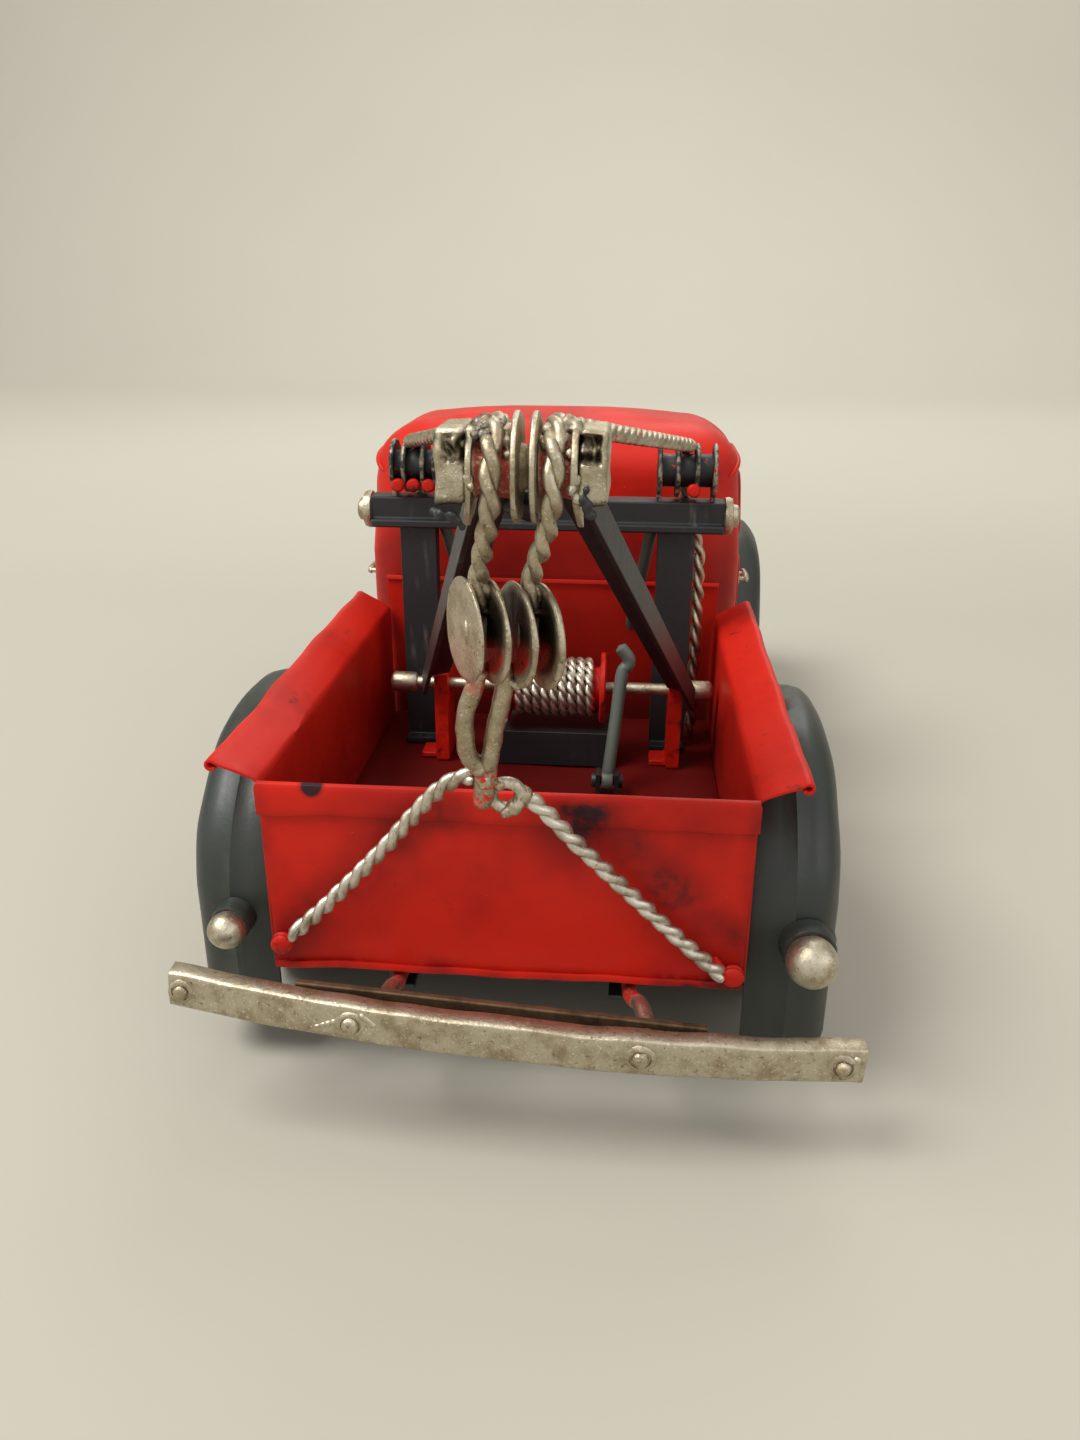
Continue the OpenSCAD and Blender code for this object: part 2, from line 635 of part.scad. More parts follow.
lamp_left_r = 2.1;
lamp_right_r = 2.8;
tail_lamp_x = 32;
tail_lamp_shift = 1;
tail_lamp_y = tail_y + 0.3;
tail_lamp_z = 20.1;
module tail_lamp_cups() color(black) for (s = [-1, 1])
    rod_y(tail_lamp_y, tail_y + 2, s * tail_lamp_x + tail_lamp_shift, tail_lamp_z,
        s < 0 ? lamp_left_r + 0.1 : lamp_right_r + 0.1);
module tail_lamp_balls() color(nickel) for (s = [-1, 1]) {
    r = s < 0 ? lamp_left_r : lamp_right_r;
    translate([s * tail_lamp_x + tail_lamp_shift, tail_lamp_y, tail_lamp_z]) rotate([90, 0, 0]) rotate_extrude()
        intersection() {
            translate([0, r * 0.7]) circle(r);
            square([r, 2 * r]);
        }
}

// ---------------------------------------------------------------- gantry

// a straight round rod from p to q
module rod(p, q, r) {
    v = q - p;
    translate(p) rotate([0, acos(v.z / norm(v)), atan2(v.y, v.x)]) cylinder(r = r, h = norm(v));
}

// two channel posts on foot plates, open towards the cab
module gantry_posts() color(black) both_sides() translate([post_span / 2, gantry_y, 0]) {
    difference() {
        box([-post_w / 2, -1.5, floor_z], [post_w / 2, 1.5, bar_low_z]);
        box([sheet - post_w / 2, sheet - 1.5, floor_z - 1], [post_w / 2 - sheet, 2, bar_low_z + 1]);
    }
    box([-post_w / 2, -3.6, floor_z], [post_w / 2, -1.5 + snug, floor_z + 0.8]);
}

// a channel with a lip along its lower rear edge
module gantry_bar() color(black) side_slab(-bar_l / 2, bar_l / 2) translate([gantry_y, bar_low_z])
    polygon([[-2.8, 0], [2, 0], [2, sheet], [sheet - 2, sheet], [sheet - 2, bar_h - sheet],
        [2, bar_h - sheet], [2, bar_h], [-2, bar_h], [-2, 1.2], [-2.8, 1.2]]);

module gantry_end_caps() color(nickel) both_sides() {
    z = bar_low_z + bar_h / 2;
    rod_x(bar_l / 2, bar_l / 2 + 1.3, gantry_y, z, 2.7);
    rod_x(bar_l / 2 + 1.3 - snug, bar_l / 2 + 2.2, gantry_y, z, 1.6);
}

// braces from the bar's underside down to the headboard
module gantry_stays() color(black) both_sides() difference() {
    rod([15.4, gantry_y + 1, bar_low_z + 0.4], [12.6, bed_front_y + 1, 34], 0.9);
    box([0, gantry_y - 9, bar_low_z], [rail_x, gantry_y + 9, roof_z]);
    box([0, bed_front_y - sheet, 0], [rail_x, cab_back_y + 9, roof_z]);
}

// four discs on a hub between two uprights; groove is the rope's room in the middle
module sheave_stack(x, side_step, bolts) color(black) translate([x, gantry_y, sheave_z]) {
    for (s = [-1, 1], d = [1.35, 1.35 + side_step]) rod_x(s * d - 0.4, s * d + 0.4, 0, 0, sheave_d / 2);
    reach = 1.75 + side_step;
    rod_x(-reach, reach, 0, 0, sheave_d / 2 - 1.4);
    for (s = [-1, 1])
        box([s * (1.35 + side_step) - 0.3, -1.6, -4.2], [s * (1.35 + side_step) + 0.3, 1.6, 0]);
    for (b = bolts) {
        rod_y(-3.8, -3, b, -2.3, 0.95);
        rod_y(-3.2, 0, b, -2.3, 0.45);
    }
}
sheave_left_x = -19;
sheave_right_x = 20;
module sheaves_left() sheave_stack(sheave_left_x, 1.75, [-2.2, 0, 2.2]);
module sheaves_right() sheave_stack(sheave_right_x, 2.5, [0.9]);

// ---------------------------------------------------------------- winch and lever

// the bearing feet: plates on the bed floor, drilled for the shaft
module boom_feet() color(red) difference() {
    for (x = [foot_left_x, foot_right_x]) {
        box([x - foot_t / 2, shaft_y - 3, floor_z], [x + foot_t / 2, shaft_y + 3, shaft_z + 2.4]);
        box([x - 3.4, shaft_y - 2, floor_z], [x - foot_t / 2 + snug, shaft_y + 2, floor_z + 0.8]);
    }
    rod_x(-bed_x, bed_x, shaft_y, shaft_z, shaft_r + shaft_gap);
}
foot_left_x = -14.7;
foot_right_x = 19.6;

// a folded cover standing on the bed floor under the drum
module winch_base() color(black) difference() {
    box([drum_x - 10, shaft_y - 3.4, floor_z], [drum_x + 9.4, shaft_y + 5, floor_z + 5.4]);
    box([drum_x - 10 + sheet, shaft_y - 3.4 + sheet, floor_z - 1],
        [drum_x + 9.4 - sheet, shaft_y + 5 - sheet, floor_z + 5.4 - sheet]);
}

module winch_shaft() color(nickel) {
    rod_x(-22.4, 24.8, shaft_y, shaft_z, shaft_r);
    rod_x(-22.6, -18.6, shaft_y, shaft_z, 1.5);
    rod_x(20.9, 25.1, shaft_y, shaft_z, 1.5);
}

module winch_drum() color(red) difference() {
    union() {
        rod_x(drum_x - wound_l / 2 - flange_t, drum_x + wound_l / 2 + flange_t, shaft_y, shaft_z, drum_d / 2);
        for (s = [-1, 1]) {
            x = drum_x + s * (wound_l / 2 + flange_t / 2);
            rod_x(x - flange_t / 2, x + flange_t / 2, shaft_y, shaft_z, flange_d / 2);
        }
    }
    rod_x(-bed_x, bed_x, shaft_y, shaft_z, shaft_r);
}

// nine turns of wire lying side by side round the drum
turns = 9;
module wound_rope() color(bright) translate([drum_x, shaft_y, shaft_z]) rotate([0, 90, 0])
    rotate_extrude() {
        pitch = wound_l / turns;
        translate([drum_d / 2, -wound_l / 2]) square([pitch / 2, wound_l]);
        for (i = [0:turns - 1])
            translate([drum_d / 2 + pitch / 2, (i + 0.5) * pitch - wound_l / 2]) circle(pitch / 2, $fn = 24);
    }

module lever_bracket() color(black) translate([lever_x, lever_y, lever_z]) {
    for (s = [-1, 1]) {
        box([s * 1.3 - 0.3, -1.4, floor_z - lever_z], [s * 1.3 + 0.3, 1.4, 1.4]);
        rod_x(s * 1.9 - 0.3, s * 1.9 + 0.3, 0, 0, 1);
    }
    rod_x(-1.9, 1.9, 0, 0, lever_pin_r);
}

// an eye on the pin, and a rod bent over at its top
module hand_lever() color("#6f7a70") translate([lever_x, lever_y, lever_z]) difference() {
    bend = [1.6, lever_l * 0.31, lever_l * 0.92];
    union() {
        rod_x(-0.8, 0.8, 0, 0, 1.35);
        wire([[0, 0.2, 0.9], [0.2, 0.6, 2], bend, bend + [0.7, 0.2, 0.9], bend + [0.9, 0.3, 1.7],
            bend + [0.6, 0.3, 2.5], bend + [-0.6, 0.3, 4]], lever_d, side = [0, 1, 0]);
    }
    rod_x(-2, 2, 0, 0, lever_pin_r + shaft_gap);
}

// ---------------------------------------------------------------- booms and heads

// an angle section from its outer top edge at a to that edge at b; side is +1 when the
// flange lies towards +X
module boom(a, b, side) color(black) intersection() {
    v = b - a;
    translate(a - 0.06 * v) rotate([0, acos(v.z / norm(v)), atan2(v.y, v.x)])
        linear_extrude(norm(v) * 1.12) {
            translate([0, min(0, side * boom_w)]) square([sheet, boom_w]);
            translate([0, min(0, side * sheet)]) square([boom_deep, sheet]);
        }
    box([-rail_x, head_y + 3.6, floor_z + 1], [rail_x, shaft_y - 3, head_z + 5]);
}
module boom_left() boom([-17.4, -24, 34], [cheek_left_x - 0.6, head_y + 3.6, head_z - 1.2], 1);
module boom_right() boom([22.4, -24, 32.8], [cheek_right_x + 0.9, head_y + 3.6, head_z - 0.8], -1);

// folded nickel blocks closing the outer side of each head, with an open underside
module head_blocks() color(nickel) for (s = [-1, 1]) {
    x = s < 0 ? cheek_left_x - head_block_w : cheek_right_x;
    difference() {
        box([x, head_y - 3.4, head_z - 2.6], [x + head_block_w, head_y + 3.6, head_z + 3.4]);
        box([x + 0.5, head_y - 2.8, head_z - 3.6], [x + head_block_w - 0.5, head_y + 3, head_z + 2.8]);
    }
}

// both heads on one core: outer cheeks, rope grooves, inner discs and the neck between
module head_spool() color(nickel) translate([0, head_y, head_z]) {
    rod_x(cheek_left_x, cheek_right_x, 0, 0, core_r);
    for (x = [cheek_left_x, cheek_right_x - cheek]) {
        rod_x(x, x + cheek, 0, 0, 3.6);
        side_slab(x, x + cheek) polygon([[-2.6, -1.5], [3.2, -1.5], [2.4, -4.6], [1.2, -4.8]]);
    }
    rod_x(disc_left_x, disc_left_x + head_disc, 0, 0, head_disc_d / 2);
    rod_x(disc_right_x - head_disc, disc_right_x, 0, 0, head_disc_d / 2);
}

// ---------------------------------------------------------------- ropes, blocks and hook

rope_left_route = [
    [-19, -10.7, 20], [-19, -10.7, 40], [-19, -10.7, 60], [-19, -11, 63.6], [-19, -12, 64.9],
    [-19, -13.5, 65.5], [-19, -18.6, 66.3], [-18, -21.5, 66.8], [0.2, -75.5, 75.5],
    [0.9, -78.4, 75.9], [0.9, -82.5, 76.6], [0.9, -84.6, 76.2], [0.9, -86, 74.9],
    [0.9, -86.5, 73.1], [0.9, -86.3, 71.6], [0.6, -85.3, 69.4], [0, -83.6, 67],
    [-0.6, -81.8, 64.9], [-1, -80.6, 63], [-1.1, -80.1, 59.7]];
rope_right_route = [
    [22.8, -10.8, 20], [22.8, -10.8, 40], [22.6, -10.8, 50], [20, -10.7, 57.6],
    [20, -10.7, 61], [20, -11, 63.6], [20, -12, 64.9], [20, -13.5, 65.5], [20, -18.6, 66.3],
    [19.2, -21.5, 66.8], [6.6, -75.5, 75.5], [5.9, -78.4, 75.9], [5.9, -82.5, 76.6],
    [5.9, -84.6, 76.2], [5.9, -86, 74.9], [5.9, -86.5, 73.1], [5.9, -86.3, 71.6],
    [5.6, -85.3, 69.4], [4.9, -83.6, 67], [4.1, -81.8, 64.9], [3.6, -80.6, 63],
    [3.5, -80.1, 59.7]];
module rope_left() color(nickel) wire(rope_left_route, rope_d, tip = 0.5);
module rope_right() color(nickel) wire(rope_right_route, rope_d, tip = 0.5);

// four plain discs in two pairs, each pair on its own hub, turned to one side
block_x = [-2.35, 0, 2.3, 4.6];
module block_disc(i) translate([block_x[i], block_y, block_z - 0.15 * i]) rotate([0, 0, block_turn])
    rod_x(-block_plate / 2, block_plate / 2, 0, 0, block_r);
module lower_blocks() color(nickel) {
    for (i = [0:3]) block_disc(i);
    for (i = [0, 2]) {
        a = [block_x[i], block_y, block_z];
        b = [block_x[i + 1], block_y, block_z];
        rod(a, b, 1.6);
    }
}

// two bent wires brazed to a short stub
arm_left_route = [[-1, -77.3, 43.9], [-2, -77.9, 44.3], [-2.6, -78.6, 45.6], [-2.7, -79.3, 48.5],
    [-2.2, -79.9, 51.2], [-1.5, -80, 53], [-1.18, -80, 55.4]];
arm_right_route = [[-0.8, -77.3, 43.4], [-0.4, -78.2, 45.6], [0.3, -79.2, 49], [0.9, -79.9, 51.6],
    [1.15, -80, 53.4], [1.15, -80, 55.4]];
module tow_hook() color(nickel) {
    wire(arm_left_route, hook_d, tip = 0.5);
    wire(arm_right_route, hook_d, tip = 0.5);
    rod([-0.8, -77, 44.4], [-1.4, -77, 39.4], hook_d / 2);
    translate([-0.8, -77, 44.4]) sphere(r = hook_d / 2 + 0.1);
    translate([-1.4, -77, 39.4]) sphere(r = hook_d / 2);
}

chain_left_route = [[-2.2, -77, 42.4], [-4.2, -76.2, 41.6], [-7.1, -75, 38.8], [-12.6, -73.2, 31.8],
    [-19.1, -72.6, 24.5], [-23.9, -72.1, 19.6]];
chain_right_route = [[2.8, -76, 40], [4.6, -75.6, 38.2], [8, -74.5, 33.9], [14.3, -73, 26.8],
    [19.8, -72.5, 21.2], [24, -72.1, 17.2]];
module tie_chains() color(bright) {
    wire(smooth(chain_left_route, 3), rope_d, side = [0, 1, 0]);
    wire(smooth(chain_right_route, 3), rope_d, side = [0, 1, 0]);
    translate([0.9, -76.4, 40.2]) rotate([90, 0, 0]) rotate_extrude() translate([1.5, 0]) circle(0.65, $fn = 24);
}
module chain_rivets() color(red) for (p = [[-24.9, 18.6], [24.9, 17.3]])
    rod_y(tail_y - 1.7, tail_y, p.x, p.y, 1.2);

chassis_frame();
bed_floor();
bed_side_left();
bed_side_right();
headboard();
tailgate();
rear_fender_left();
rear_fender_right();
running_boards();
cab_shell();
door_panels();
door_handles();
seat();
steering_wheel();
bonnet();
front_fender_left();
front_fender_right();
grille();
headlamp_shells();
headlamp_rims();
headlamp_lenses();
front_bumper();
rear_bumper();
bumper_backing_bar();
bumper_wire_irons();
bolt_heads();
tail_lamp_cups();
tail_lamp_balls();
axles();
tyre_rear_left();
tyre_rear_right();
tyre_front_left();
tyre_front_right();
wheel_rear_left();
wheel_rear_right();
wheel_front_left();
wheel_front_right();
gantry_posts();
gantry_bar();
gantry_end_caps();
gantry_stays();
sheaves_left();
sheaves_right();
boom_feet();
winch_base();
winch_shaft();
winch_drum();
wound_rope();
lever_bracket();
hand_lever();
boom_left();
boom_right();
head_blocks();
head_spool();
rope_left();
rope_right();
lower_blocks();
tow_hook();
tie_chains();
chain_rivets();
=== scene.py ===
"""The looks of a tinplate toy tow truck: painted sheet, twisted wire, solder and rubber."""

import json
import math

import bmesh
import bpy
from mathutils import Matrix, Vector, noise
from mathutils.bvhtree import BVHTree


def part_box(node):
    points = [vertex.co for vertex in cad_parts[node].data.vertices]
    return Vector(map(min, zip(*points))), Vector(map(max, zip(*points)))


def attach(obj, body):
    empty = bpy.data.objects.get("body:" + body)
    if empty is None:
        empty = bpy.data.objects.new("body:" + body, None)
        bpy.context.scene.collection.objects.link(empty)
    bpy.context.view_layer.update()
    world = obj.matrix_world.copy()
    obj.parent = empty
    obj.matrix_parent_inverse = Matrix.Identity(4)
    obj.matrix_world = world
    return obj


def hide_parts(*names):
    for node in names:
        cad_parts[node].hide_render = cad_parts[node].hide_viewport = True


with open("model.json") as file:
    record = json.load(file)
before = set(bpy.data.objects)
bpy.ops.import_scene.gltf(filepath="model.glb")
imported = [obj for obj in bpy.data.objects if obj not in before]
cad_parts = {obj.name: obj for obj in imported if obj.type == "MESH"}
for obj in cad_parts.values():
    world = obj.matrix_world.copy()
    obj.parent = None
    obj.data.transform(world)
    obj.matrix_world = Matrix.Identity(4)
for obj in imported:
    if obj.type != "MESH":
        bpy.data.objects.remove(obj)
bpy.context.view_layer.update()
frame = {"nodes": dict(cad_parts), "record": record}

MM = 0.001


def span(node):
    """The lowest and highest corner of a CAD node, in millimetres."""
    low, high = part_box(node)
    return low / MM, high / MM


def v(*p):
    return Vector(p)


# ---------------------------------------------------------------- finishes


class Value:
    """A number that varies over a surface. Python's operators on it add Math nodes."""

    def __init__(self, finish, socket):
        self.finish = finish
        self.socket = socket

    def math(self, operation, first, second=None):
        sockets = {0: first} if second is None else {0: first, 1: second}
        return self.finish.node("ShaderNodeMath", {"operation": operation}, sockets)

    def __add__(self, other):
        return self.math("ADD", self, other)

    def __sub__(self, other):
        return self.math("SUBTRACT", self, other)

    def __mul__(self, other):
        return self.math("MULTIPLY", self, other)

    def __radd__(self, other):
        return self.math("ADD", other, self)

    def __rsub__(self, other):
        return self.math("SUBTRACT", other, self)

    def __rmul__(self, other):
        return self.math("MULTIPLY", other, self)

    def __abs__(self):
        return self.math("ABSOLUTE", self)

    def __pow__(self, other):
        return self.math("POWER", self, other)

    def most(self, other):
        return self.math("MAXIMUM", self, other)

    def least(self, other):
        return self.math("MINIMUM", self, other)

    def rise(self, low, high):
        """0 below low, 1 above high, and smooth between."""
        return self.finish.node("ShaderNodeMapRange", {"interpolation_type": "SMOOTHSTEP"},
                                {"Value": self, "From Min": low, "From Max": high})

    def fall(self, low, high):
        return 1 - self.rise(low, high)


class Finish:
    """One material: its nodes, its shader and its coordinates in millimetres on the piece."""

    def __init__(self, name, color, metallic=0.0, roughness=0.5, **constants):
        self.material = bpy.data.materials.new(name)
        self.material.use_nodes = True
        self.material.diffuse_color = (*color, 1)
        self.tree = self.material.node_tree
        self.tree.nodes.clear()
        self.shader = self.tree.nodes.new("ShaderNodeBsdfPrincipled")
        output = self.tree.nodes.new("ShaderNodeOutputMaterial")
        self.tree.links.new(self.shader.outputs[0], output.inputs[0])
        self.set("Base Color", (*color, 1))
        self.set("Metallic", metallic)
        self.set("Roughness", roughness)
        for label, value in constants.items():
            self.set(label.replace("_", " "), value)
        place = self.node("ShaderNodeTexCoord", out="Object")
        self.place = self.node("ShaderNodeVectorMath", {"operation": "SCALE"},
                               {0: place, "Scale": 1 / MM})
        self.parts = self.node("ShaderNodeSeparateXYZ", sockets={0: self.place}, out=None)

    def node(self, kind, settings=None, sockets=None, out=0):
        """A node of this kind, its settings made first and then its sockets set or linked."""
        made = self.tree.nodes.new(kind)
        for key, value in (settings or {}).items():
            setattr(made, key, value)
        for key, value in (sockets or {}).items():
            self.join(made.inputs[key], value)
        if out is None:
            return [Value(self, socket) for socket in made.outputs]
        return Value(self, made.outputs[out])

    def join(self, socket, value):
        if isinstance(value, Value):
            self.tree.links.new(value.socket, socket)
        else:
            socket.default_value = value

    def set(self, label, value):
        self.join(self.shader.inputs[label], value)

    def stretched(self, x=1, y=1, z=1):
        """The piece's coordinates, squeezed so that a pattern runs long along an axis."""
        return self.node("ShaderNodeVectorMath", {"operation": "MULTIPLY"},
                         {0: self.place, 1: (x, y, z)})

    def noise(self, size, detail=2.0, rough=0.5, place=None, seed=0.0):
        """Cloudy values from 0 to 1, with spots about size millimetres across."""
        return self.node("ShaderNodeTexNoise", {"noise_dimensions": "4D"},
                         {"Vector": place or self.place, "Scale": 1 / size, "Detail": detail,
                          "Roughness": rough, "W": seed})

    def cells(self, size):
        """How far it is to the nearest of points strewn about size millimetres apart."""
        return self.node("ShaderNodeTexVoronoi", sockets={
            "Vector": self.place, "Scale": 1 / size}, out="Distance")

    def mix(self, factor, a, b):
        """Colour a where factor is 0 and b where it is 1."""
        made = self.tree.nodes.new("ShaderNodeMix")
        made.data_type = "RGBA"
        self.join(made.inputs[0], factor)
        for socket, color in ((made.inputs[6], a), (made.inputs[7], b)):
            self.join(socket, color if isinstance(color, Value) else (*color, 1))
        return Value(self, made.outputs[2])

    def near(self, point, inner, outer):
        """1 within inner millimetres of a point, 0 beyond outer."""
        away = self.node("ShaderNodeVectorMath", {"operation": "DISTANCE"},
                         {0: self.place, 1: point}, out="Value")
        return away.fall(inner, outer)

    def bump(self, height, depth):
        """Raises the surface by height times depth millimetres, in shading only."""
        self.set("Normal", self.node("ShaderNodeBump", sockets={
            "Height": height, "Distance": depth * MM}))


def linear(r, g, b):
    """A colour given in everyday 0-255 steps, as the shader's linear values."""
    return tuple((c / 255 / 12.92) if c < 10.3 else ((c / 255 + 0.055) / 1.055) ** 2.4
                 for c in (r, g, b))


RED = linear(188, 27, 10)
RED_DEEP = linear(138, 12, 6)
RED_SHADE = linear(70, 8, 12)
# Red for painted shade.
RED_PAINTED_SHADE = linear(66, 6, 5)
RED_CHIP = linear(214, 96, 70)
# Near-black for deep smudges and for the deepest painted shade.
SMUDGE_AND_SHADE_BLACK = linear(26, 20, 28)
FENDER = linear(38, 43, 39)
FENDER_GREY = linear(78, 84, 76)
CRANE = linear(27, 28, 30)
CRANE_WORN = linear(120, 114, 102)
NICKEL = linear(186, 176, 154)
NICKEL_DULL = linear(138, 120, 90)
NICKEL_DEEP = linear(52, 44, 34)
NICKEL_BRIGHT = linear(232, 226, 210)
# Dark brown for painted shade in the hollows of silver pieces.
PAINTED_SHADE_BROWN = linear(46, 35, 25)


def red_enamel(name, smudge_and_shade=None, seed=0.0, shade=None):
    """Brushed-on red enamel: cloudy depth, brush marks, dust nibs, dark smudges and, where its masks ask for
    it, painted shade.
    """
    f = Finish(name, RED, roughness=0.4, Specular_IOR_Level=0.22)
    cloud = f.noise(11, 3, 0.55, seed=seed)
    fine = f.noise(1.3, 3, 0.6, seed=seed + 3)
    brush = f.noise(1.6, 2, 0.5, f.stretched(0.16, 0.16, 1), seed + 7)
    nibs = f.cells(1.9).fall(0.03, 0.08) * f.noise(4, 1, seed=seed + 5).rise(0.5, 0.62)
    color = f.mix(cloud.rise(0.42, 0.72) * 0.55, RED, RED_DEEP)
    color = f.mix(fine.rise(0.6, 0.85) * 0.35, color, RED_SHADE)
    color = f.mix(nibs * 0.5, color, RED_CHIP)
    wear = fine.rise(0.25, 0.7) * 0.3 + 0.7
    # The smudge mask carries real smudges and, on the bed's side walls, painted shade.
    if smudge_and_shade:
        darkening = (smudge_and_shade(f) * wear).least(1)
        color = f.mix(darkening * 0.8, color, RED_SHADE)
        color = f.mix(darkening.rise(0.62, 1.0) * 0.9, color, SMUDGE_AND_SHADE_BLACK)
    # Painted shade: the shade mask darkens the red where the bed's inside and the cab's back lie in shadow.
    if shade:
        color = f.mix(shade(f), color, RED_PAINTED_SHADE)
    f.set("Base Color", color)
    f.set("Roughness", 0.34 + 0.16 * brush + 0.14 * fine)
    f.bump(brush * 0.5 + fine * 0.35 + nibs * 1.4 + cloud * 0.6, 0.07)
    return f.material


def dark_enamel(name, base, worn, wear=0.3, seed=0.0, roughness=0.36):
    """Dark paint with a soft sheen, rubbed paler in streaks."""
    f = Finish(name, base, roughness=roughness)
    cloud = f.noise(7, 3, 0.55, seed=seed)
    fine = f.noise(0.7, 3, 0.65, seed=seed + 2)
    streak = f.noise(1.1, 2, 0.5, f.stretched(1, 1, 0.15), seed + 4)
    rub = (cloud.rise(0.5, 0.75) * streak.rise(0.5, 0.7)).most(fine.rise(0.68, 0.78))
    f.set("Base Color", f.mix(rub * wear, base, worn))
    f.set("Roughness", roughness - 0.04 + 0.16 * fine + 0.08 * cloud)
    f.bump(fine * 0.5 + cloud * 0.8, 0.06)
    return f


def nickel(name, red=None, lumps=0.05, seed=0.0, tone=NICKEL, dark=None):
    """Aged silvery metal: a sparkling grain, dark pits, dull patches, red overspray and, where given,
    painted shade in hollows.
    """
    f = Finish(name, tone, metallic=1.0, roughness=0.36)
    cloud = f.noise(2.6, 3, 0.6, seed=seed)
    grain = f.noise(0.26, 3, 0.7, seed=seed + 1)
    pits = f.noise(0.55, 4, 0.75, seed=seed + 2)
    color = f.mix(cloud.rise(0.4, 0.68) * 0.7, tone, NICKEL_DULL)
    color = f.mix(pits.rise(0.56, 0.7) * 0.75, color, NICKEL_DEEP)
    color = f.mix(grain.rise(0.54, 0.7) * 0.7, color, NICKEL_BRIGHT)
    # Painted shade: the dark mask browns hollows and undersides that lie in shadow.
    if dark:
        color = f.mix(dark(f), color, PAINTED_SHADE_BROWN)
    metallic = 1.0
    if red:
        spray = red(f) * f.noise(0.45, 3, 0.7, seed=seed + 8).rise(0.36, 0.5)
        color = f.mix(spray, color, RED)
        metallic = 1 - 0.9 * spray
    f.set("Base Color", color)
    f.set("Metallic", metallic)
    f.set("Roughness", 0.22 + 0.22 * cloud + 0.2 * grain)
    f.bump(grain * 0.9 + pits * 1.3 + cloud * 0.8, lumps)
    return f.material


def flecks(f):
    """Rare red specks anywhere on a silver piece."""
    return f.noise(1.1, 2, 0.6, seed=40).rise(0.7, 0.74)


def gate_smudges(f):
    """Blue-black smudges on the tailgate: under the chains, along the hem and on the lip."""
    x, y, z = f.parts
    patch = f.noise(6, 2, 0.5, seed=12).rise(0.3, 0.66) * 0.6 + 0.4
    beside_left = abs((z - 40.2) * 0.69 - (x + 2) * 0.724 - 1.6)
    beside_right = abs((z - 38.4) * 0.7 + (x - 4) * 0.714 - 2.0)
    chains = (beside_left.fall(0.8, 4.4) * x.fall(-7, -3)).most(
        beside_right.fall(1.2, 5.2) * x.rise(3, 8)) * z.fall(35.5, 38.5) * 0.8
    hem = z.fall(15.4, 17.6) * f.noise(9, 2, seed=14).rise(0.34, 0.6) * 0.95
    chip = f.near((-20.3, -71.4, 38), 0.7, 1.7) * 1.6
    rub = f.near((8, -71.6, 36), 1.5, 7.5) * z.fall(36.8, 38.2) * 1.1
    under_eye = f.near((-6, -71.6, 35.6), 0.5, 4.5) * 0.9
    edge = abs(x).rise(24.4, 26.4) * 0.6
    darkening = (chains * patch).most(hem)
    for mask in (edge * patch, rub * patch, chip, under_eye * patch):
        darkening = darkening.most(mask)
    return darkening


def rubber():
    f = Finish("tyre_rubber", linear(30, 30, 31), roughness=0.7)
    fine = f.noise(0.35, 3, 0.6)
    dust = f.noise(4, 3, 0.6, seed=3).rise(0.45, 0.75)
    f.set("Base Color", f.mix(dust * 0.35, linear(27, 27, 28), linear(84, 80, 74)))
    f.set("Roughness", 0.6 + 0.2 * fine)
    f.bump(fine, 0.05)
    return f.material


def hide():
    f = Finish("seat_hide", linear(70, 42, 26), roughness=0.5)
    pores = f.cells(0.6)
    cloud = f.noise(5, 3)
    f.set("Base Color", f.mix(cloud.rise(0.35, 0.7), linear(64, 36, 22), linear(96, 60, 38)))
    f.set("Roughness", 0.42 + 0.3 * pores)
    f.bump(pores * 1 + cloud * 0.4, 0.08)
    return f.material


def lens_glass():
    f = Finish("lamp_glass", linear(226, 228, 222), roughness=0.08, Transmission_Weight=0.75,
               IOR=1.45)
    flutes = f.noise(0.8, 1, place=f.stretched(1, 0.1, 0.1))
    f.set("Roughness", 0.06 + 0.08 * flutes)
    f.bump(flutes, 0.15)
    return f.material


def bare_steel(name, tone, dull):
    f = Finish(name, tone, metallic=0.8, roughness=0.5)
    cloud = f.noise(2.4, 4, 0.65)
    scratch = f.noise(0.3, 2, 0.5, f.stretched(0.1, 1, 1), 5)
    f.set("Base Color", f.mix(cloud.rise(0.35, 0.7), tone, dull))
    f.set("Roughness", 0.38 + 0.3 * cloud)
    f.bump(scratch * 0.6 + cloud, 0.04)
    return f.material


red = red_enamel("red_enamel")
red_gate = red_enamel("red_enamel_tailgate", gate_smudges, 2.0)
red_crane = red_enamel("red_enamel_crane", lambda f: f.noise(2, 3, 0.6, seed=30).rise(0.5, 0.7), 4.0)
# Painted shade: the bed's floor and headboard darken towards the floor.
red_bed_painted_shade = red_enamel("red_enamel_bed_inside_painted_shade", None, 6.0,
                     lambda f: f.parts[2].fall(24, 44) * 0.45 + f.parts[2].fall(20.5, 28) * 0.45)
fender_paint = dark_enamel("fender_enamel", FENDER, FENDER_GREY, 0.35).material
crane_paint = dark_enamel("crane_black", CRANE, CRANE_WORN, 0.55, 5.0, 0.42).material
lever_paint = dark_enamel("lever_enamel", linear(84, 92, 84), CRANE_WORN, 0.5, 9.0, 0.4).material
silver = nickel("nickel", flecks)
silver_plain = nickel("nickel_plain")
solder_metal = nickel("solder", None, 0.09, 3.0, linear(176, 168, 150))
solder_dark = nickel("solder_dark", None, 0.1, 5.0, linear(112, 106, 96))
chain_silver = nickel("chain_wire", flecks, 0.04, 6.0, linear(208, 202, 188))
bumper_metal = nickel("bumper_metal", None, 0.06, 8.0, linear(190, 180, 158))
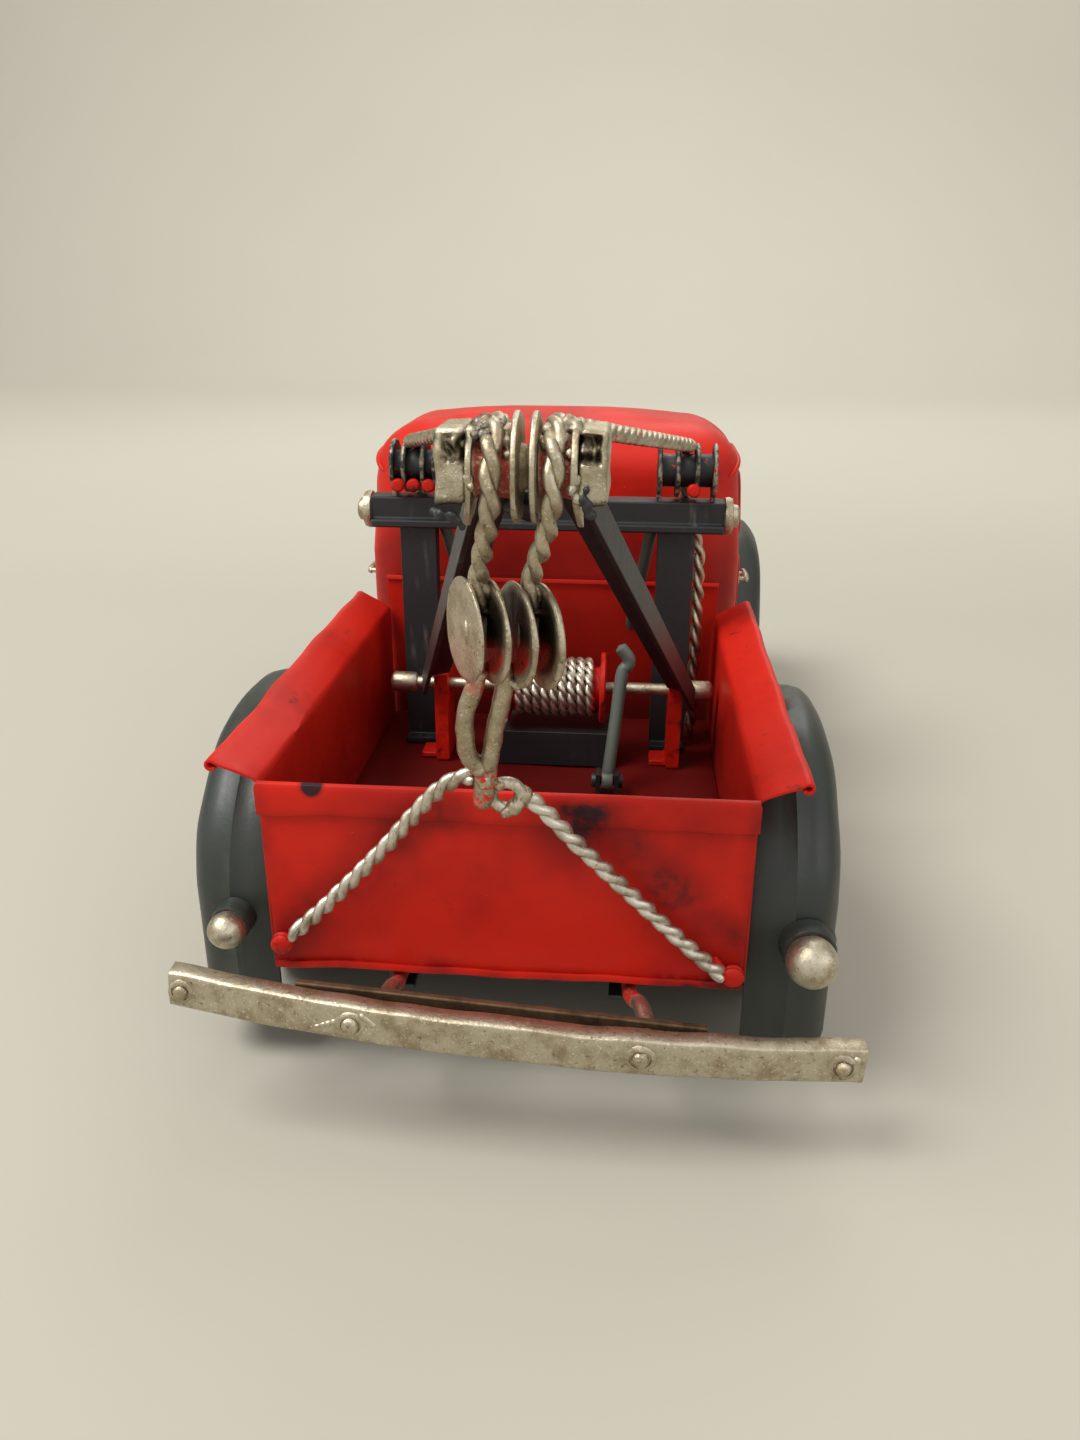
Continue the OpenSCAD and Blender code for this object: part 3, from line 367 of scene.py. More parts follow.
brown_steel = bare_steel("brown_steel", linear(120, 96, 70), linear(70, 54, 40))
axle_steel = bare_steel("axle_steel", linear(170, 164, 154), linear(110, 100, 88))
tyre_rubber = rubber()
seat_hide = hide()
lamp_glass = lens_glass()

# ---------------------------------------------------------------- making pieces


def build(name, verts, faces, material, body, slot, sharp=38, replaces=()):
    """A mesh piece from points in millimetres, smooth but for edges sharper than given."""
    mesh = bpy.data.meshes.new(name)
    mesh.from_pydata([Vector(p) * MM for p in verts], [], faces)
    mesh.materials.append(material)
    piece = bpy.data.objects.new(name, mesh)
    bpy.context.scene.collection.objects.link(piece)
    finish_mesh(piece, sharp)
    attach(piece, body)
    if replaces:
        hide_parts(*replaces)
    return piece


def finish_mesh(piece, sharp=38):
    """Welds, turns the faces outwards and marks the sharp edges."""
    mesh = piece.data
    form = bmesh.new()
    form.from_mesh(mesh)
    bmesh.ops.remove_doubles(form, verts=form.verts, dist=1e-7)
    bmesh.ops.recalc_face_normals(form, faces=form.faces)
    form.to_mesh(mesh)
    form.free()
    mesh.polygons.foreach_set("use_smooth", [True] * len(mesh.polygons))
    mesh.set_sharp_from_angle(angle=math.radians(sharp))
    mesh.update()


def apply(piece, kind, **settings):
    """Adds a modifier and applies it at once."""
    modifier = piece.modifiers.new(kind, kind)
    for key, value in settings.items():
        setattr(modifier, key, value)
    depsgraph = bpy.context.evaluated_depsgraph_get()
    made = bpy.data.meshes.new_from_object(piece.evaluated_get(depsgraph))
    piece.modifiers.clear()
    old, piece.data = piece.data, made
    made.name = old.name
    bpy.data.meshes.remove(old)
    return piece


def spread(a, b, n):
    """n + 1 numbers evenly from a to b."""
    return [a + (b - a) * k / n for k in range(n + 1)]


def mirrored(half, middle=()):
    """A section of (reach, offset) pairs followed by its mirror image across offset 0."""
    return half + list(middle) + [(reach, -offset) for reach, offset in reversed(half)]


def around(a, side, up):
    """The direction at angle a between two others that are square to each other."""
    return math.cos(a) * side + math.sin(a) * up


def axes(axis):
    """An axis and two directions square to it."""
    axis = Vector(axis).normalized()
    side = axis.orthogonal().normalized()
    return axis, side, axis.cross(side)


def ring_faces(rings, sides, closed=False):
    """Faces between rings of points, each joined to the next."""
    steps = [(i, (i + 1) % rings) for i in range(rings if closed else rings - 1)]
    return [(i * sides + k, i * sides + (k + 1) % sides, j * sides + (k + 1) % sides, j * sides + k)
            for i, j in steps for k in range(sides)]


def spline(a, b, c, d, t):
    """A place between b and c on the curve through four points."""
    return 0.5 * (2 * b + (c - a) * t + (2 * a - 5 * b + 4 * c - d) * t * t
                  + (3 * b - a - 3 * c + d) * t ** 3)


def smooth(points, n):
    """A smooth curve through the points, n steps between each pair."""
    p = [Vector(q) for q in points]
    last = len(p) - 1
    made = [spline(p[max(i - 1, 0)], p[i], p[i + 1], p[min(i + 2, last)], k / n)
            for i in range(last) for k in range(n)]
    return made + [p[last]]


def evenly(points, step):
    """The same line with its points a fixed step apart."""
    lengths = [0.0]
    for a, b in zip(points, points[1:]):
        lengths.append(lengths[-1] + (b - a).length)
    count = max(2, round(lengths[-1] / step))
    made, i = [], 0
    for k in range(count + 1):
        at = lengths[-1] * k / count
        while i < len(points) - 2 and lengths[i + 1] < at:
            i += 1
        share = (at - lengths[i]) / max(lengths[i + 1] - lengths[i], 1e-9)
        made.append(points[i].lerp(points[i + 1], min(max(share, 0), 1)))
    return made


def turning_frames(points):
    """A forward, side and third direction at each point, with no twist along the way."""
    made, side = [], None
    for i, p in enumerate(points):
        forward = (points[min(i + 1, len(points) - 1)] - points[max(i - 1, 0)]).normalized()
        if side is None:
            side = forward.orthogonal().normalized()
        side = (side - forward * side.dot(forward)).normalized()
        made.append((forward, side, forward.cross(side)))
    return made


def tube(points, radius, sides=12, closed=False):
    """Points and faces of a round wire. radius is a number or a function of 0..1."""
    frames = turning_frames(points)
    last = len(points) - 1
    verts, faces = [], []
    for i, (p, (_, side, up)) in enumerate(zip(points, frames)):
        r = radius(i / last) if callable(radius) else radius
        verts += [p + r * around(math.tau * k / sides, side, up) for k in range(sides)]
    rings = last + (1 if closed else 0)
    for i in range(rings):
        j = (i + 1) % (last + 1)
        faces += [(i * sides + k, j * sides + k, j * sides + (k + 1) % sides,
                   i * sides + (k + 1) % sides) for k in range(sides)]
    if not closed:
        faces.append(tuple(range(sides)))
        faces.append(tuple(last * sides + k for k in range(sides)))
    return verts, faces


def join_parts(parts):
    """Several (points, faces) pairs as one."""
    verts, faces = [], []
    for some, others in parts:
        start = len(verts)
        verts += some
        faces += [tuple(start + i for i in face) for face in others]
    return verts, faces


def rounded_tip(radius, share=0.02):
    """A radius that rounds off at both ends of a wire."""
    def at(t):
        edge = min(t, 1 - t) / share
        return radius * (math.sqrt(1 - (1 - edge) ** 2) if edge < 1 else 1) + 0.02
    return at


def twisted(route, strand, apart, pitch, step=0.32, start=0.0, sides=10):
    """Two strands of wire laid round a route, one full turn in each pitch."""
    points = evenly(route, step)
    frames = turning_frames(points)
    parts = []
    for lead in (0, 0.5):
        line = []
        for i, (p, (_, side, up)) in enumerate(zip(points, frames)):
            a = start + math.tau * (lead - i * step / pitch)
            line.append(p + apart * around(a, side, up))
        parts.append(tube(line, rounded_tip(strand / 2), sides))
    return join_parts(parts)


def turned(profile, at, axis=(0, -1, 0), sides=48):
    """A lathed form: profile is a list of (radius, distance along the axis)."""
    axis, side, up = axes(axis)
    verts = [at + axis * d + max(r, 0.001) * around(math.tau * k / sides, side, up)
             for r, d in profile for k in range(sides)]
    faces = ring_faces(len(profile), sides)
    faces.append(tuple(range(sides)))
    faces.append(tuple((len(profile) - 1) * sides + k for k in range(sides)))
    return verts, faces


def arc(x, y, radius, a, b, n=8):
    """Points on an arc about (x, y) in a plane, from angle a to angle b in degrees."""
    return [(x + radius * math.cos(math.radians(t)), y + radius * math.sin(math.radians(t)))
            for t in spread(a, b, n)]


def grid(rows):
    """Points and faces of a sheet given as rows of points."""
    wide = len(rows[0])
    verts = [p for row in rows for p in row]
    faces = [(i * wide + k, i * wide + k + 1, (i + 1) * wide + k + 1, (i + 1) * wide + k)
             for i in range(len(rows) - 1) for k in range(wide - 1)]
    return verts, faces


def thicken(piece, thickness, rim=0.12, offset=-1):
    """Gives a sheet its thickness and rounds its cut edges."""
    apply(piece, "SOLIDIFY", thickness=thickness * MM, offset=offset, use_even_offset=True)
    apply(piece, "BEVEL", width=rim * MM, segments=2, limit_method="ANGLE",
          angle_limit=math.radians(50))
    finish_mesh(piece, 42)
    return piece


def waver(p, size, amount, seed=0.0):
    """A small hand-made unevenness at a point, the same on each run."""
    return amount * noise.noise(Vector(p) / size + Vector((seed, seed * 1.7, -seed)))


def lumpy(piece, size, amount, seed=0.0):
    """Moves each point along its normal by a cloudy amount in millimetres."""
    for vertex in piece.data.vertices:
        vertex.co += vertex.normal * waver(vertex.co / MM, size, amount, seed) * MM
    piece.data.update()
    return piece


def soften(node, width, material):
    """A CAD node with its edges rounded and its finish given."""
    shape = frame["nodes"][node]
    weld = shape.modifiers.new("weld", "WELD")
    weld.merge_threshold = 0.002 * MM
    edge = shape.modifiers.new("edges", "BEVEL")
    edge.width = width * MM
    edge.segments = 2
    edge.limit_method = "ANGLE"
    edge.angle_limit = math.radians(35)
    edge.harden_normals = False
    paint(node, material)


def paint(node, material):
    """Gives a CAD node its finish."""
    mesh = frame["nodes"][node].data
    mesh.materials.clear()
    mesh.materials.append(material)
    for face in mesh.polygons:
        face.material_index = 0


# ---------------------------------------------------------------- camera, light and floor


def main_camera():
    """Behind the truck and above it, close, with a wide lens."""
    data = bpy.data.cameras.new("view")
    data.sensor_width = 36
    data.lens = 27.25
    data.clip_start = 0.01
    data.clip_end = 20
    camera = bpy.data.objects.new("view", data)
    turn = (Matrix.Rotation(math.radians(4.57), 4, "Z")
            @ Matrix.Rotation(math.radians(90 - 21.98), 4, "X")
            @ Matrix.Rotation(math.radians(0.3), 4, "Z"))
    camera.matrix_world = Matrix.Translation(v(11.82, -172.57, 87.25) * MM) @ turn
    bpy.context.scene.collection.objects.link(camera)
    bpy.context.scene.camera = camera


def area_light(name, place, aim, size, power, color):
    data = bpy.data.lights.new(name, "AREA")
    data.shape = "DISK"
    data.size = size
    data.energy = power
    data.color = color
    light = bpy.data.objects.new(name, data)
    light.location = place
    light.rotation_euler = (Vector(aim) - Vector(place)).to_track_quat("-Z", "Y").to_euler()
    bpy.context.scene.collection.objects.link(light)


def studio():
    """A pale sweep, a broad soft light above to the left and a weak one to the right."""
    paper = Finish("pale_paper", linear(168, 164, 152), roughness=0.9)
    paper.set("Base Color", paper.mix(paper.noise(260, 2), linear(165, 162, 150),
                                      linear(171, 167, 155)))
    bend_y, bend_r, reach, tall = 0.75, 0.5, 6.0, 3.0
    profile = [(-reach, 0), (bend_y, 0)] + [
        (bend_y + bend_r * math.sin(math.radians(a)), bend_r - bend_r * math.cos(math.radians(a)))
        for a in range(6, 91, 6)] + [(bend_y + bend_r, tall)]
    rows = [[v(x, y, z) for x in (-reach, reach)] for y, z in profile]
    verts, faces = grid(rows)
    mesh = bpy.data.meshes.new("sweep")
    mesh.from_pydata(verts, [], faces)
    mesh.materials.append(paper.material)
    mesh.polygons.foreach_set("use_smooth", [True] * len(mesh.polygons))
    floor = bpy.data.objects.new("sweep", mesh)
    bpy.context.scene.collection.objects.link(floor)
    world = bpy.data.worlds.new("studio")
    world.use_nodes = True
    sky = world.node_tree.nodes["Background"]
    sky.inputs["Color"].default_value = (1.0, 0.985, 0.95, 1)
    sky.inputs["Strength"].default_value = 0.8
    bpy.context.scene.world = world
    area_light("key", (-0.42, -0.28, 0.75), (0, -0.02, 0.03), 0.45, 7.5, (1, 0.99, 0.965))
    area_light("fill", (0.6, -0.45, 0.45), (0, 0, 0.03), 0.6, 0.95, (1, 0.98, 0.95))
    area_light("back", (0.15, 0.7, 0.8), (0, 0, 0.03), 0.6, 2.9, (1, 0.99, 0.97))
    area_light("wall", (0, 0.2, 1.1), (0, 1.8, 1.0), 1.3, 15.0, (1, 0.99, 0.965))
    bpy.context.scene.view_settings.view_transform = "Standard"


main_camera()
studio()

slot_finish = {
    "red_paint": red, "dark_paint": fender_paint, "black_paint": crane_paint, "nickel": silver,
    "bright_wire": chain_silver, "bare_steel": axle_steel, "lever_paint": lever_paint,
    "tyre_rubber": tyre_rubber, "seat_hide": seat_hide, "lamp_glass": lamp_glass}
for row in frame["record"]["subparts"]:
    paint(row["node"], slot_finish[row["material_slot"]])

# ---------------------------------------------------------------- ropes, blocks and hook

rope_left_route = [
    (-19, -10.7, 20), (-19, -10.7, 40), (-19, -10.7, 60), (-19, -11, 63.6), (-19, -12, 64.9),
    (-19, -13.5, 65.5), (-19, -18.6, 66.3), (-18, -21.5, 66.8), (0.2, -75.5, 75.5),
    (0.9, -78.4, 75.9), (0.9, -82.5, 76.6), (0.9, -84.6, 76.2), (0.9, -86, 74.9),
    (0.9, -86.5, 73.1), (0.9, -86.3, 71.6), (0.6, -85.3, 69.4), (0, -83.6, 67),
    (-0.6, -81.8, 64.9), (-1, -80.6, 63), (-1.1, -80.1, 59.7)]
rope_right_route = [
    (22.8, -10.8, 20), (22.8, -10.8, 40), (22.6, -10.8, 50), (20, -10.7, 57.6),
    (20, -10.7, 61), (20, -11, 63.6), (20, -12, 64.9), (20, -13.5, 65.5), (20, -18.6, 66.3),
    (19.2, -21.5, 66.8), (6.6, -75.5, 75.5), (5.9, -78.4, 75.9), (5.9, -82.5, 76.6),
    (5.9, -84.6, 76.2), (5.9, -86, 74.9), (5.9, -86.5, 73.1), (5.9, -86.3, 71.6),
    (5.6, -85.3, 69.4), (4.9, -83.6, 67), (4.1, -81.8, 64.9), (3.6, -80.6, 63),
    (3.5, -80.1, 59.7)]
rope_strand = 1.06
rope_apart = 0.4
rope_pitch = 5.8


def rope(name, route, start):
    line = [Vector(p) for p in route]
    verts, faces = twisted(line, rope_strand, rope_apart, rope_pitch, start=start)
    piece = build(name + "_strands", verts, faces, silver, "truck", "nickel", 80, [name])
    return lumpy(piece, 0.7, 0.05, start)


rope("rope_left", rope_left_route, 0.4)
rope("rope_right", rope_right_route, 2.2)

chain_left_route = [(-2.2, -77, 42.4), (-4.2, -76.2, 41.6), (-7.1, -75, 38.8),
                    (-12.6, -73.2, 31.8), (-19.1, -72.6, 24.5), (-23.9, -72.1, 19.6)]
chain_right_route = [(2.8, -76, 40), (4.6, -75.6, 38.2), (8, -74.5, 33.9), (14.3, -73, 26.8),
                     (19.8, -72.5, 21.2), (24, -72.1, 17.2)]
chain_strand = 1.04
chain_apart = 0.4
chain_pitch = 4.5
eye_at = v(0.9, -76.4, 40.2)


def ring(center, radius, wire, normal, n=40):
    """A closed ring of wire."""
    _, side, up = axes(normal)
    line = [center + radius * around(math.tau * k / n, side, up) for k in range(n)]
    return tube(line, wire / 2, 12, closed=True)


def tie_chains():
    """Two chains of twisted wire with the eye that joins them at the hook."""
    parts = [twisted(smooth(route, 12), chain_strand, chain_apart, chain_pitch, 0.28, start)
             for route, start in ((chain_left_route, 0.5), (chain_right_route, 1.9))]
    parts.append(ring(eye_at, 1.5, 1.25, (0, 1, 0.15)))
    piece = build("tie_chain_strands", *join_parts(parts), chain_silver, "truck", "bright_wire", 80,
                  ["tie_chains"])
    return lumpy(piece, 0.8, 0.07, 4.0)


tie_chains()


def solder(name, drops, voxel=0.13, rough=0.22, seed=0.0, material=solder_metal, slot="nickel"):
    """Lumps of solder run together: drops are (x, y, z, radius) in millimetres."""
    parts = []
    for x, y, z, r in drops:
        form = bmesh.new()
        bmesh.ops.create_icosphere(form, subdivisions=2, radius=r)
        parts.append(([p.co + v(x, y, z) for p in form.verts],
                      [tuple(q.index for q in face.verts) for face in form.faces]))
        form.free()
    piece = build(name, *join_parts(parts), material, "truck", slot, 80)
    apply(piece, "REMESH", mode="VOXEL", voxel_size=voxel * MM)
    finish_mesh(piece, 80)
    lumpy(piece, 0.9, rough, seed)
    apply(piece, "SMOOTH", factor=0.5, iterations=3)
    finish_mesh(piece, 80)


block_x = [-2.35, 0, 2.3, 4.6]
block_y = -80
block_z = 58.2
block_r = 4.8
block_turn = math.radians(27)
disc_axis = v(math.cos(block_turn), math.sin(block_turn), 0)


def inside_discs(f, which, inner, outer):
    """Nearly 1 on the faces between the blocks' discs, which lie in shade; it places red paint and painted
    shade.
    """
    x, y, z = f.parts
    along = x * disc_axis.x + (y - block_y) * disc_axis.y
    near = f.near((which[0], block_y, block_z), inner, outer)
    for middle in which[1:]:
        near = near.most(f.near((middle, block_y, block_z), inner, outer))
    return near * along.rise(-1.75, -1.5)


def inner_red(f):
    """Red paint left low between the discs."""
    return inside_discs(f, block_x[1:3], 3.6, 4.4) * f.parts[2].fall(56.2, 58.6)


# The discs' inner faces get painted shade, and red paint low down between them.
disc_metal_painted_shade = nickel("disc_metal_painted_shade", inner_red, 0.06, 11.0, NICKEL,
                    lambda f: inside_discs(f, block_x[1:], 3.4, 4.3) * 0.85)


def lower_blocks():
    """Four thin discs in two pairs, with rounded uneven rims."""
    parts = []
    profile = mirrored([(0.3, -0.3), (block_r - 0.5, -0.3), (block_r - 0.14, -0.24), (block_r, -0.1)])
    for i, x in enumerate(block_x):
        parts.append(turned(profile, v(x, block_y, block_z - 0.15 * i), disc_axis, 64))
    for i in (0, 2):
        a, b = v(block_x[i], block_y, block_z), v(block_x[i + 1], block_y, block_z)
        parts.append(tube([a.lerp(b, 0.1 + 0.8 * k / 6) for k in range(7)], 1.6, 20))
    piece = build("lower_block_discs", *join_parts(parts), disc_metal_painted_shade, "truck", "nickel", 40,
                  ["lower_blocks"])
    return lumpy(piece, 2.2, 0.12, 9.0)


lower_blocks()

arm_left_route = [(-1, -77.3, 43.9), (-2, -77.9, 44.3), (-2.6, -78.6, 45.6), (-2.7, -79.3, 48.5),
                  (-2.2, -79.9, 51.2), (-1.5, -80, 53), (-1.18, -80, 55.4)]
arm_right_route = [(-0.8, -77.3, 43.4), (-0.4, -78.2, 45.6), (0.3, -79.2, 49), (0.9, -79.9, 51.6),
                   (1.15, -80, 53.4), (1.15, -80, 55.4)]
hook_wire = 1.7


def hook_red(f):
    """Red specks on the hook's stub, eye and the arms' upper ends."""
    stub = f.near((-1.1, -77.6, 41.6), 1.4, 3.2) * f.noise(0.8, 2, seed=17).rise(0.5, 0.56)
    arm = f.near((-1.4, -79.6, 53.2), 0.6, 1.9)
    return stub.most(arm)


hook_metal = nickel("hook_metal", hook_red, 0.07, 14.0, linear(176, 164, 140))


def tow_hook():
    """Two bent wires brazed to a short stub."""
    stub = [v(-0.8, -77, 44.6).lerp(v(-1.5, -77, 39), k / 10) for k in range(11)]
    parts = [tube(evenly(smooth(route, 10), 0.35), rounded_tip(hook_wire / 2, 0.04), 16)
             for route in (arm_left_route, arm_right_route)]
    parts.append(tube(stub, rounded_tip(hook_wire / 2 + 0.2, 0.2), 16))
    piece = build("tow_hook_wires", *join_parts(parts), hook_metal, "truck", "nickel", 80,
                  ["tow_hook"])
    return lumpy(piece, 1.3, 0.12, 2.0)


tow_hook()
solder("hook_solder", [(-0.9, -77.4, 44, 1.0), (-1.6, -77.8, 43.6, 0.8), (0.9, -79.3, 49.4, 0.42),
                       (-1.2, -77.5, 42.2, 0.95), (0.2, -76.9, 41.6, 0.7), (2.5, -76.1, 40.2, 1.0),
                       (1.6, -76.3, 38.9, 0.9), (0.9, -76.5, 38.5, 0.75), (-1.5, -77.1, 39.8, 0.95)],
       seed=1.0, material=hook_metal)

# ---------------------------------------------------------------- boom heads


def rounded_block(low, high, radius, cuts=14, shape=None):
    """A box with round edges as a fine mesh; shape moves each of its points."""
    low, high = Vector(low), Vector(high)
    middle, half = (low + high) / 2, (high - low) / 2
    form = bmesh.new()
    bmesh.ops.create_cube(form, size=2)
    bmesh.ops.subdivide_edges(form, edges=form.edges, cuts=cuts, use_grid_fill=True)
    verts = []
    for vertex in form.verts:
        core = Vector([max(-half[i] + radius, min(half[i] - radius, vertex.co[i] * half[i]))
                       for i in range(3)])
        out = Vector([vertex.co[i] * half[i] - core[i] for i in range(3)])
        point = middle + core + (out.normalized() * radius if out.length > 1e-9 else out)
        verts.append(shape(point) if shape else point)
    faces = [tuple(p.index for p in face.verts) for face in form.faces]
    form.free()
    return verts, faces


def step(value, low, high):
    t = min(max((value - low) / (high - low), 0), 1)
    return t * t * (3 - 2 * t)


head_y = -83
head_z = 73.1
cheek_x = (-0.9, 7.5)
head_disc_x = (2.75, 4.25)


def head_painted_shade(f):
    """Painted shade: dark brown in the blocks' upper recesses and under them."""
    x, y, z = f.parts
    cloud = f.noise(0.9, 3, 0.65, seed=51).rise(0.3, 0.6)
    hollow = z.rise(73.6, 74.6) * z.fall(75.8, 76.6) * y.rise(-86.3, -85.7) * y.fall(-84.6, -84)
    return (hollow * cloud).most(z.fall(70.6, 71.4)) * 0.85


# Silver with painted shade in the blocks' recesses and on their undersides.
head_metal_painted_shade = nickel("head_metal_painted_shade", None, 0.08, 50.0, NICKEL, head_painted_shade)


def head_block(low_x, high_x, recess_side):
    """One folded block: a recess high on its rear face and a hollow underside."""
    low, high = v(low_x, head_y - 3.4, head_z - 2.6), v(high_x, head_y + 3.6, head_z + 3.4)

    def shape(p):
        across = (p.x - low.x) / (high.x - low.x)
        if recess_side < 0:
            across = 1 - across
        hollow = step(across, 0.2, 0.38) * step(p.z, head_z + 0.6, head_z + 1.2)
        hollow *= 1 - step(p.z, head_z + 2.6, head_z + 3.1)
        back = step(-p.y, -low.y - 0.9, -low.y - 0.3)
        inside = min(step(across, 0.1, 0.24), 1 - step(across, 0.76, 0.9))
        inside = min(inside, step(p.y, low.y + 0.4, low.y + 0.8),
                     1 - step(p.y, high.y - 0.8, high.y - 0.4))
        under = inside * (1 - step(p.z, low.z + 0.3, low.z + 0.6))
        lean = 0.25 * step(p.z, head_z + 1, head_z + 3.4) * back
        depth = hollow * back * (1.0 + waver(p, 0.8, 1.3, 31))
        return p + v(waver(p, 1.6, 0.2, 3), depth + lean + waver(p, 1.4, 0.2, 5),
                     3.4 * under + waver(p, 1.8, 0.24, 7))
    return rounded_block(low, high, 0.5, 34, shape)


def head_blocks():
    x = span("head_blocks")
    parts = [head_block(x[0].x, cheek_x[0] - 0.3, 1), head_block(cheek_x[1] + 0.3, x[1].x, -1)]
    build("folded_head_blocks", *join_parts(parts), head_metal_painted_shade, "truck", "nickel", 50,
          ["head_blocks"])


head_blocks()


def plate(outline, x, thickness):
    """A plate across X with the outline given as (y, z) points."""
    verts = [v(x - thickness / 2, y, z) for y, z in outline] + [
        v(x + thickness / 2, y, z) for y, z in outline]
    n = len(outline)
    faces = [tuple(range(n)), tuple(range(n, 2 * n))]
    faces += [(k, (k + 1) % n, n + (k + 1) % n, n + k) for k in range(n)]
    return verts, faces


def head_spool():
    """Cheeks with pointed feet, two thin discs, the neck and the core they sit on."""
    parts = []
    for x, out in zip(cheek_x, (-1, 1)):
        outline = arc(head_y, head_z, 3.55, -20, 200, 26) + [
            (head_y - 2.6, head_z - 2.8), (head_y - 1.3, head_z - 4.5), (head_y - 0.7, head_z - 4.7),
            (head_y + 1.2, head_z - 3.6), (head_y + 2.9, head_z - 2.2)]
        verts, faces = plate(outline, x, 0.55)
        verts = [p + v(out * 0.5 * step(-p.z, -head_z + 1.5, -head_z + 4.7), 0, 0) for p in verts]
        parts.append((verts, faces))
    rim = mirrored([(2.4, -0.3), (4.2, -0.3), (4.46, -0.18)], [(4.5, 0)])
    for x in head_disc_x:
        parts.append(turned(rim, v(x, head_y, head_z), (1, 0, 0), 64))
    core = [(2.55, cheek_x[0] + 0.1), (2.3, 0.2), (2.5, 2.4), (2.0, 3.0), (1.75, 3.5), (2.0, 4.0),
            (2.5, 4.6), (2.3, 6.6), (2.55, cheek_x[1] - 0.1)]
    parts.append(turned(core, v(0, head_y, head_z), (1, 0, 0), 48))
    piece = build("head_discs_and_cheeks", *join_parts(parts), spool_metal, "truck", "nickel", 40,
                  ["head_spool"])
    apply(piece, "BEVEL", width=0.12 * MM, segments=2, limit_method="ANGLE",
          angle_limit=math.radians(60))
    finish_mesh(piece, 45)
    lumpy(piece, 1.5, 0.1, 6.0)


def spool_red(f):
    """Red paint inside the grooves, between cheeks and discs."""
    x, y, z = f.parts
    groove = x.rise(-0.7, -0.4) * x.fall(2.3, 2.5) + x.rise(4.6, 4.8) * x.fall(7.1, 7.3)
    return groove * z.rise(70, 71) * 0.9


spool_metal = nickel("spool_metal", spool_red, 0.08, 20.0)
head_spool()

solder("head_solder_left", [
    (2.0, -83.4, 76.0, 0.7), (-0.9, -84.2, 75.9, 0.6), (1.9, -84.6, 75.4, 0.6), (-1.5, -84.8, 75.2, 0.5),
    (2.2, -85.2, 74.4, 0.5), (-0.9, -86.0, 72.6, 0.5), (-0.7, -86.2, 71.9, 0.45)],
    rough=0.3, seed=3.0)
solder("head_solder_crest", [
    (-0.3, -83.8, 76.4, 0.8), (0.5, -83.9, 76.6, 0.8), (0.2, -82.8, 76.6, 0.8), (1.3, -83.4, 76.3, 0.7),
    (1.5, -84.6, 76.0, 0.55), (0.4, -85.3, 75.9, 0.55), (-0.6, -85.0, 75.8, 0.5)],
    rough=0.34, seed=13.0, material=solder_dark)
# Black lumps along the foot of each block's rear face.
solder("head_block_black_lumps", [
    (-3.9, -85.6, 69.9, 0.42), (-3.2, -85.9, 69.7, 0.5), (-2.4, -86.0, 69.6, 0.5), (-1.8, -85.9, 69.2, 0.42),
    (-1.5, -85.8, 68.7, 0.32), (8.2, -86.4, 71.2, 0.45), (8.6, -86.3, 70.6, 0.5), (8.9, -86.2, 70.0, 0.45),
    (8.5, -86.5, 71.9, 0.3)], rough=0.3, seed=15.0, material=crane_paint, slot="black_paint")
solder("head_solder_right", [
    (5.3, -83.9, 76.2, 0.7), (6.1, -83.6, 76.4, 0.8), (6.9, -83.4, 76.6, 0.75), (7.5, -83.6, 76.4, 0.7),
    (6.4, -85.0, 75.6, 0.6), (7.2, -85.6, 74.6, 0.4), (5.2, -85.0, 75.4, 0.5), (7.6, -86.0, 72.6, 0.6),
    (7.3, -86.2, 72.0, 0.5), (7.9, -86.2, 71.2, 0.5)], rough=0.3, seed=5.0)
solder("block_solder", [
    (-1.1, -80.1, 62.6, 1.0), (-1.6, -80.3, 62.0, 0.8), (-0.4, -80.1, 62.0, 0.9), (3.4, -80.1, 62.5, 0.9),
    (3.0, -80.2, 61.9, 0.8), (4.2, -80.1, 61.6, 0.8), (-1.2, -80.1, 54.2, 0.9), (1.2, -80, 53.6, 0.9),
    (2.3, -80.2, 53.3, 0.7)], rough=0.15, seed=7.0, material=disc_metal_painted_shade)
solder("head_gusset", [(3, -79.6, 69.6, 1.3), (2, -79.2, 69.2, 1.0), (4.2, -79.2, 69.4, 1.1),
                       (3.2, -78.4, 68.8, 1.1)], rough=0.25, seed=9.0, material=crane_paint,
       slot="black_paint")

# ---------------------------------------------------------------- load bed

bed_low, bed_high = span("bed_floor")
bed_x = span("tailgate")[1].x
gate_y = -71.0
gate_low = span("tailgate")[0].z
gate_high = span("tailgate")[1].z


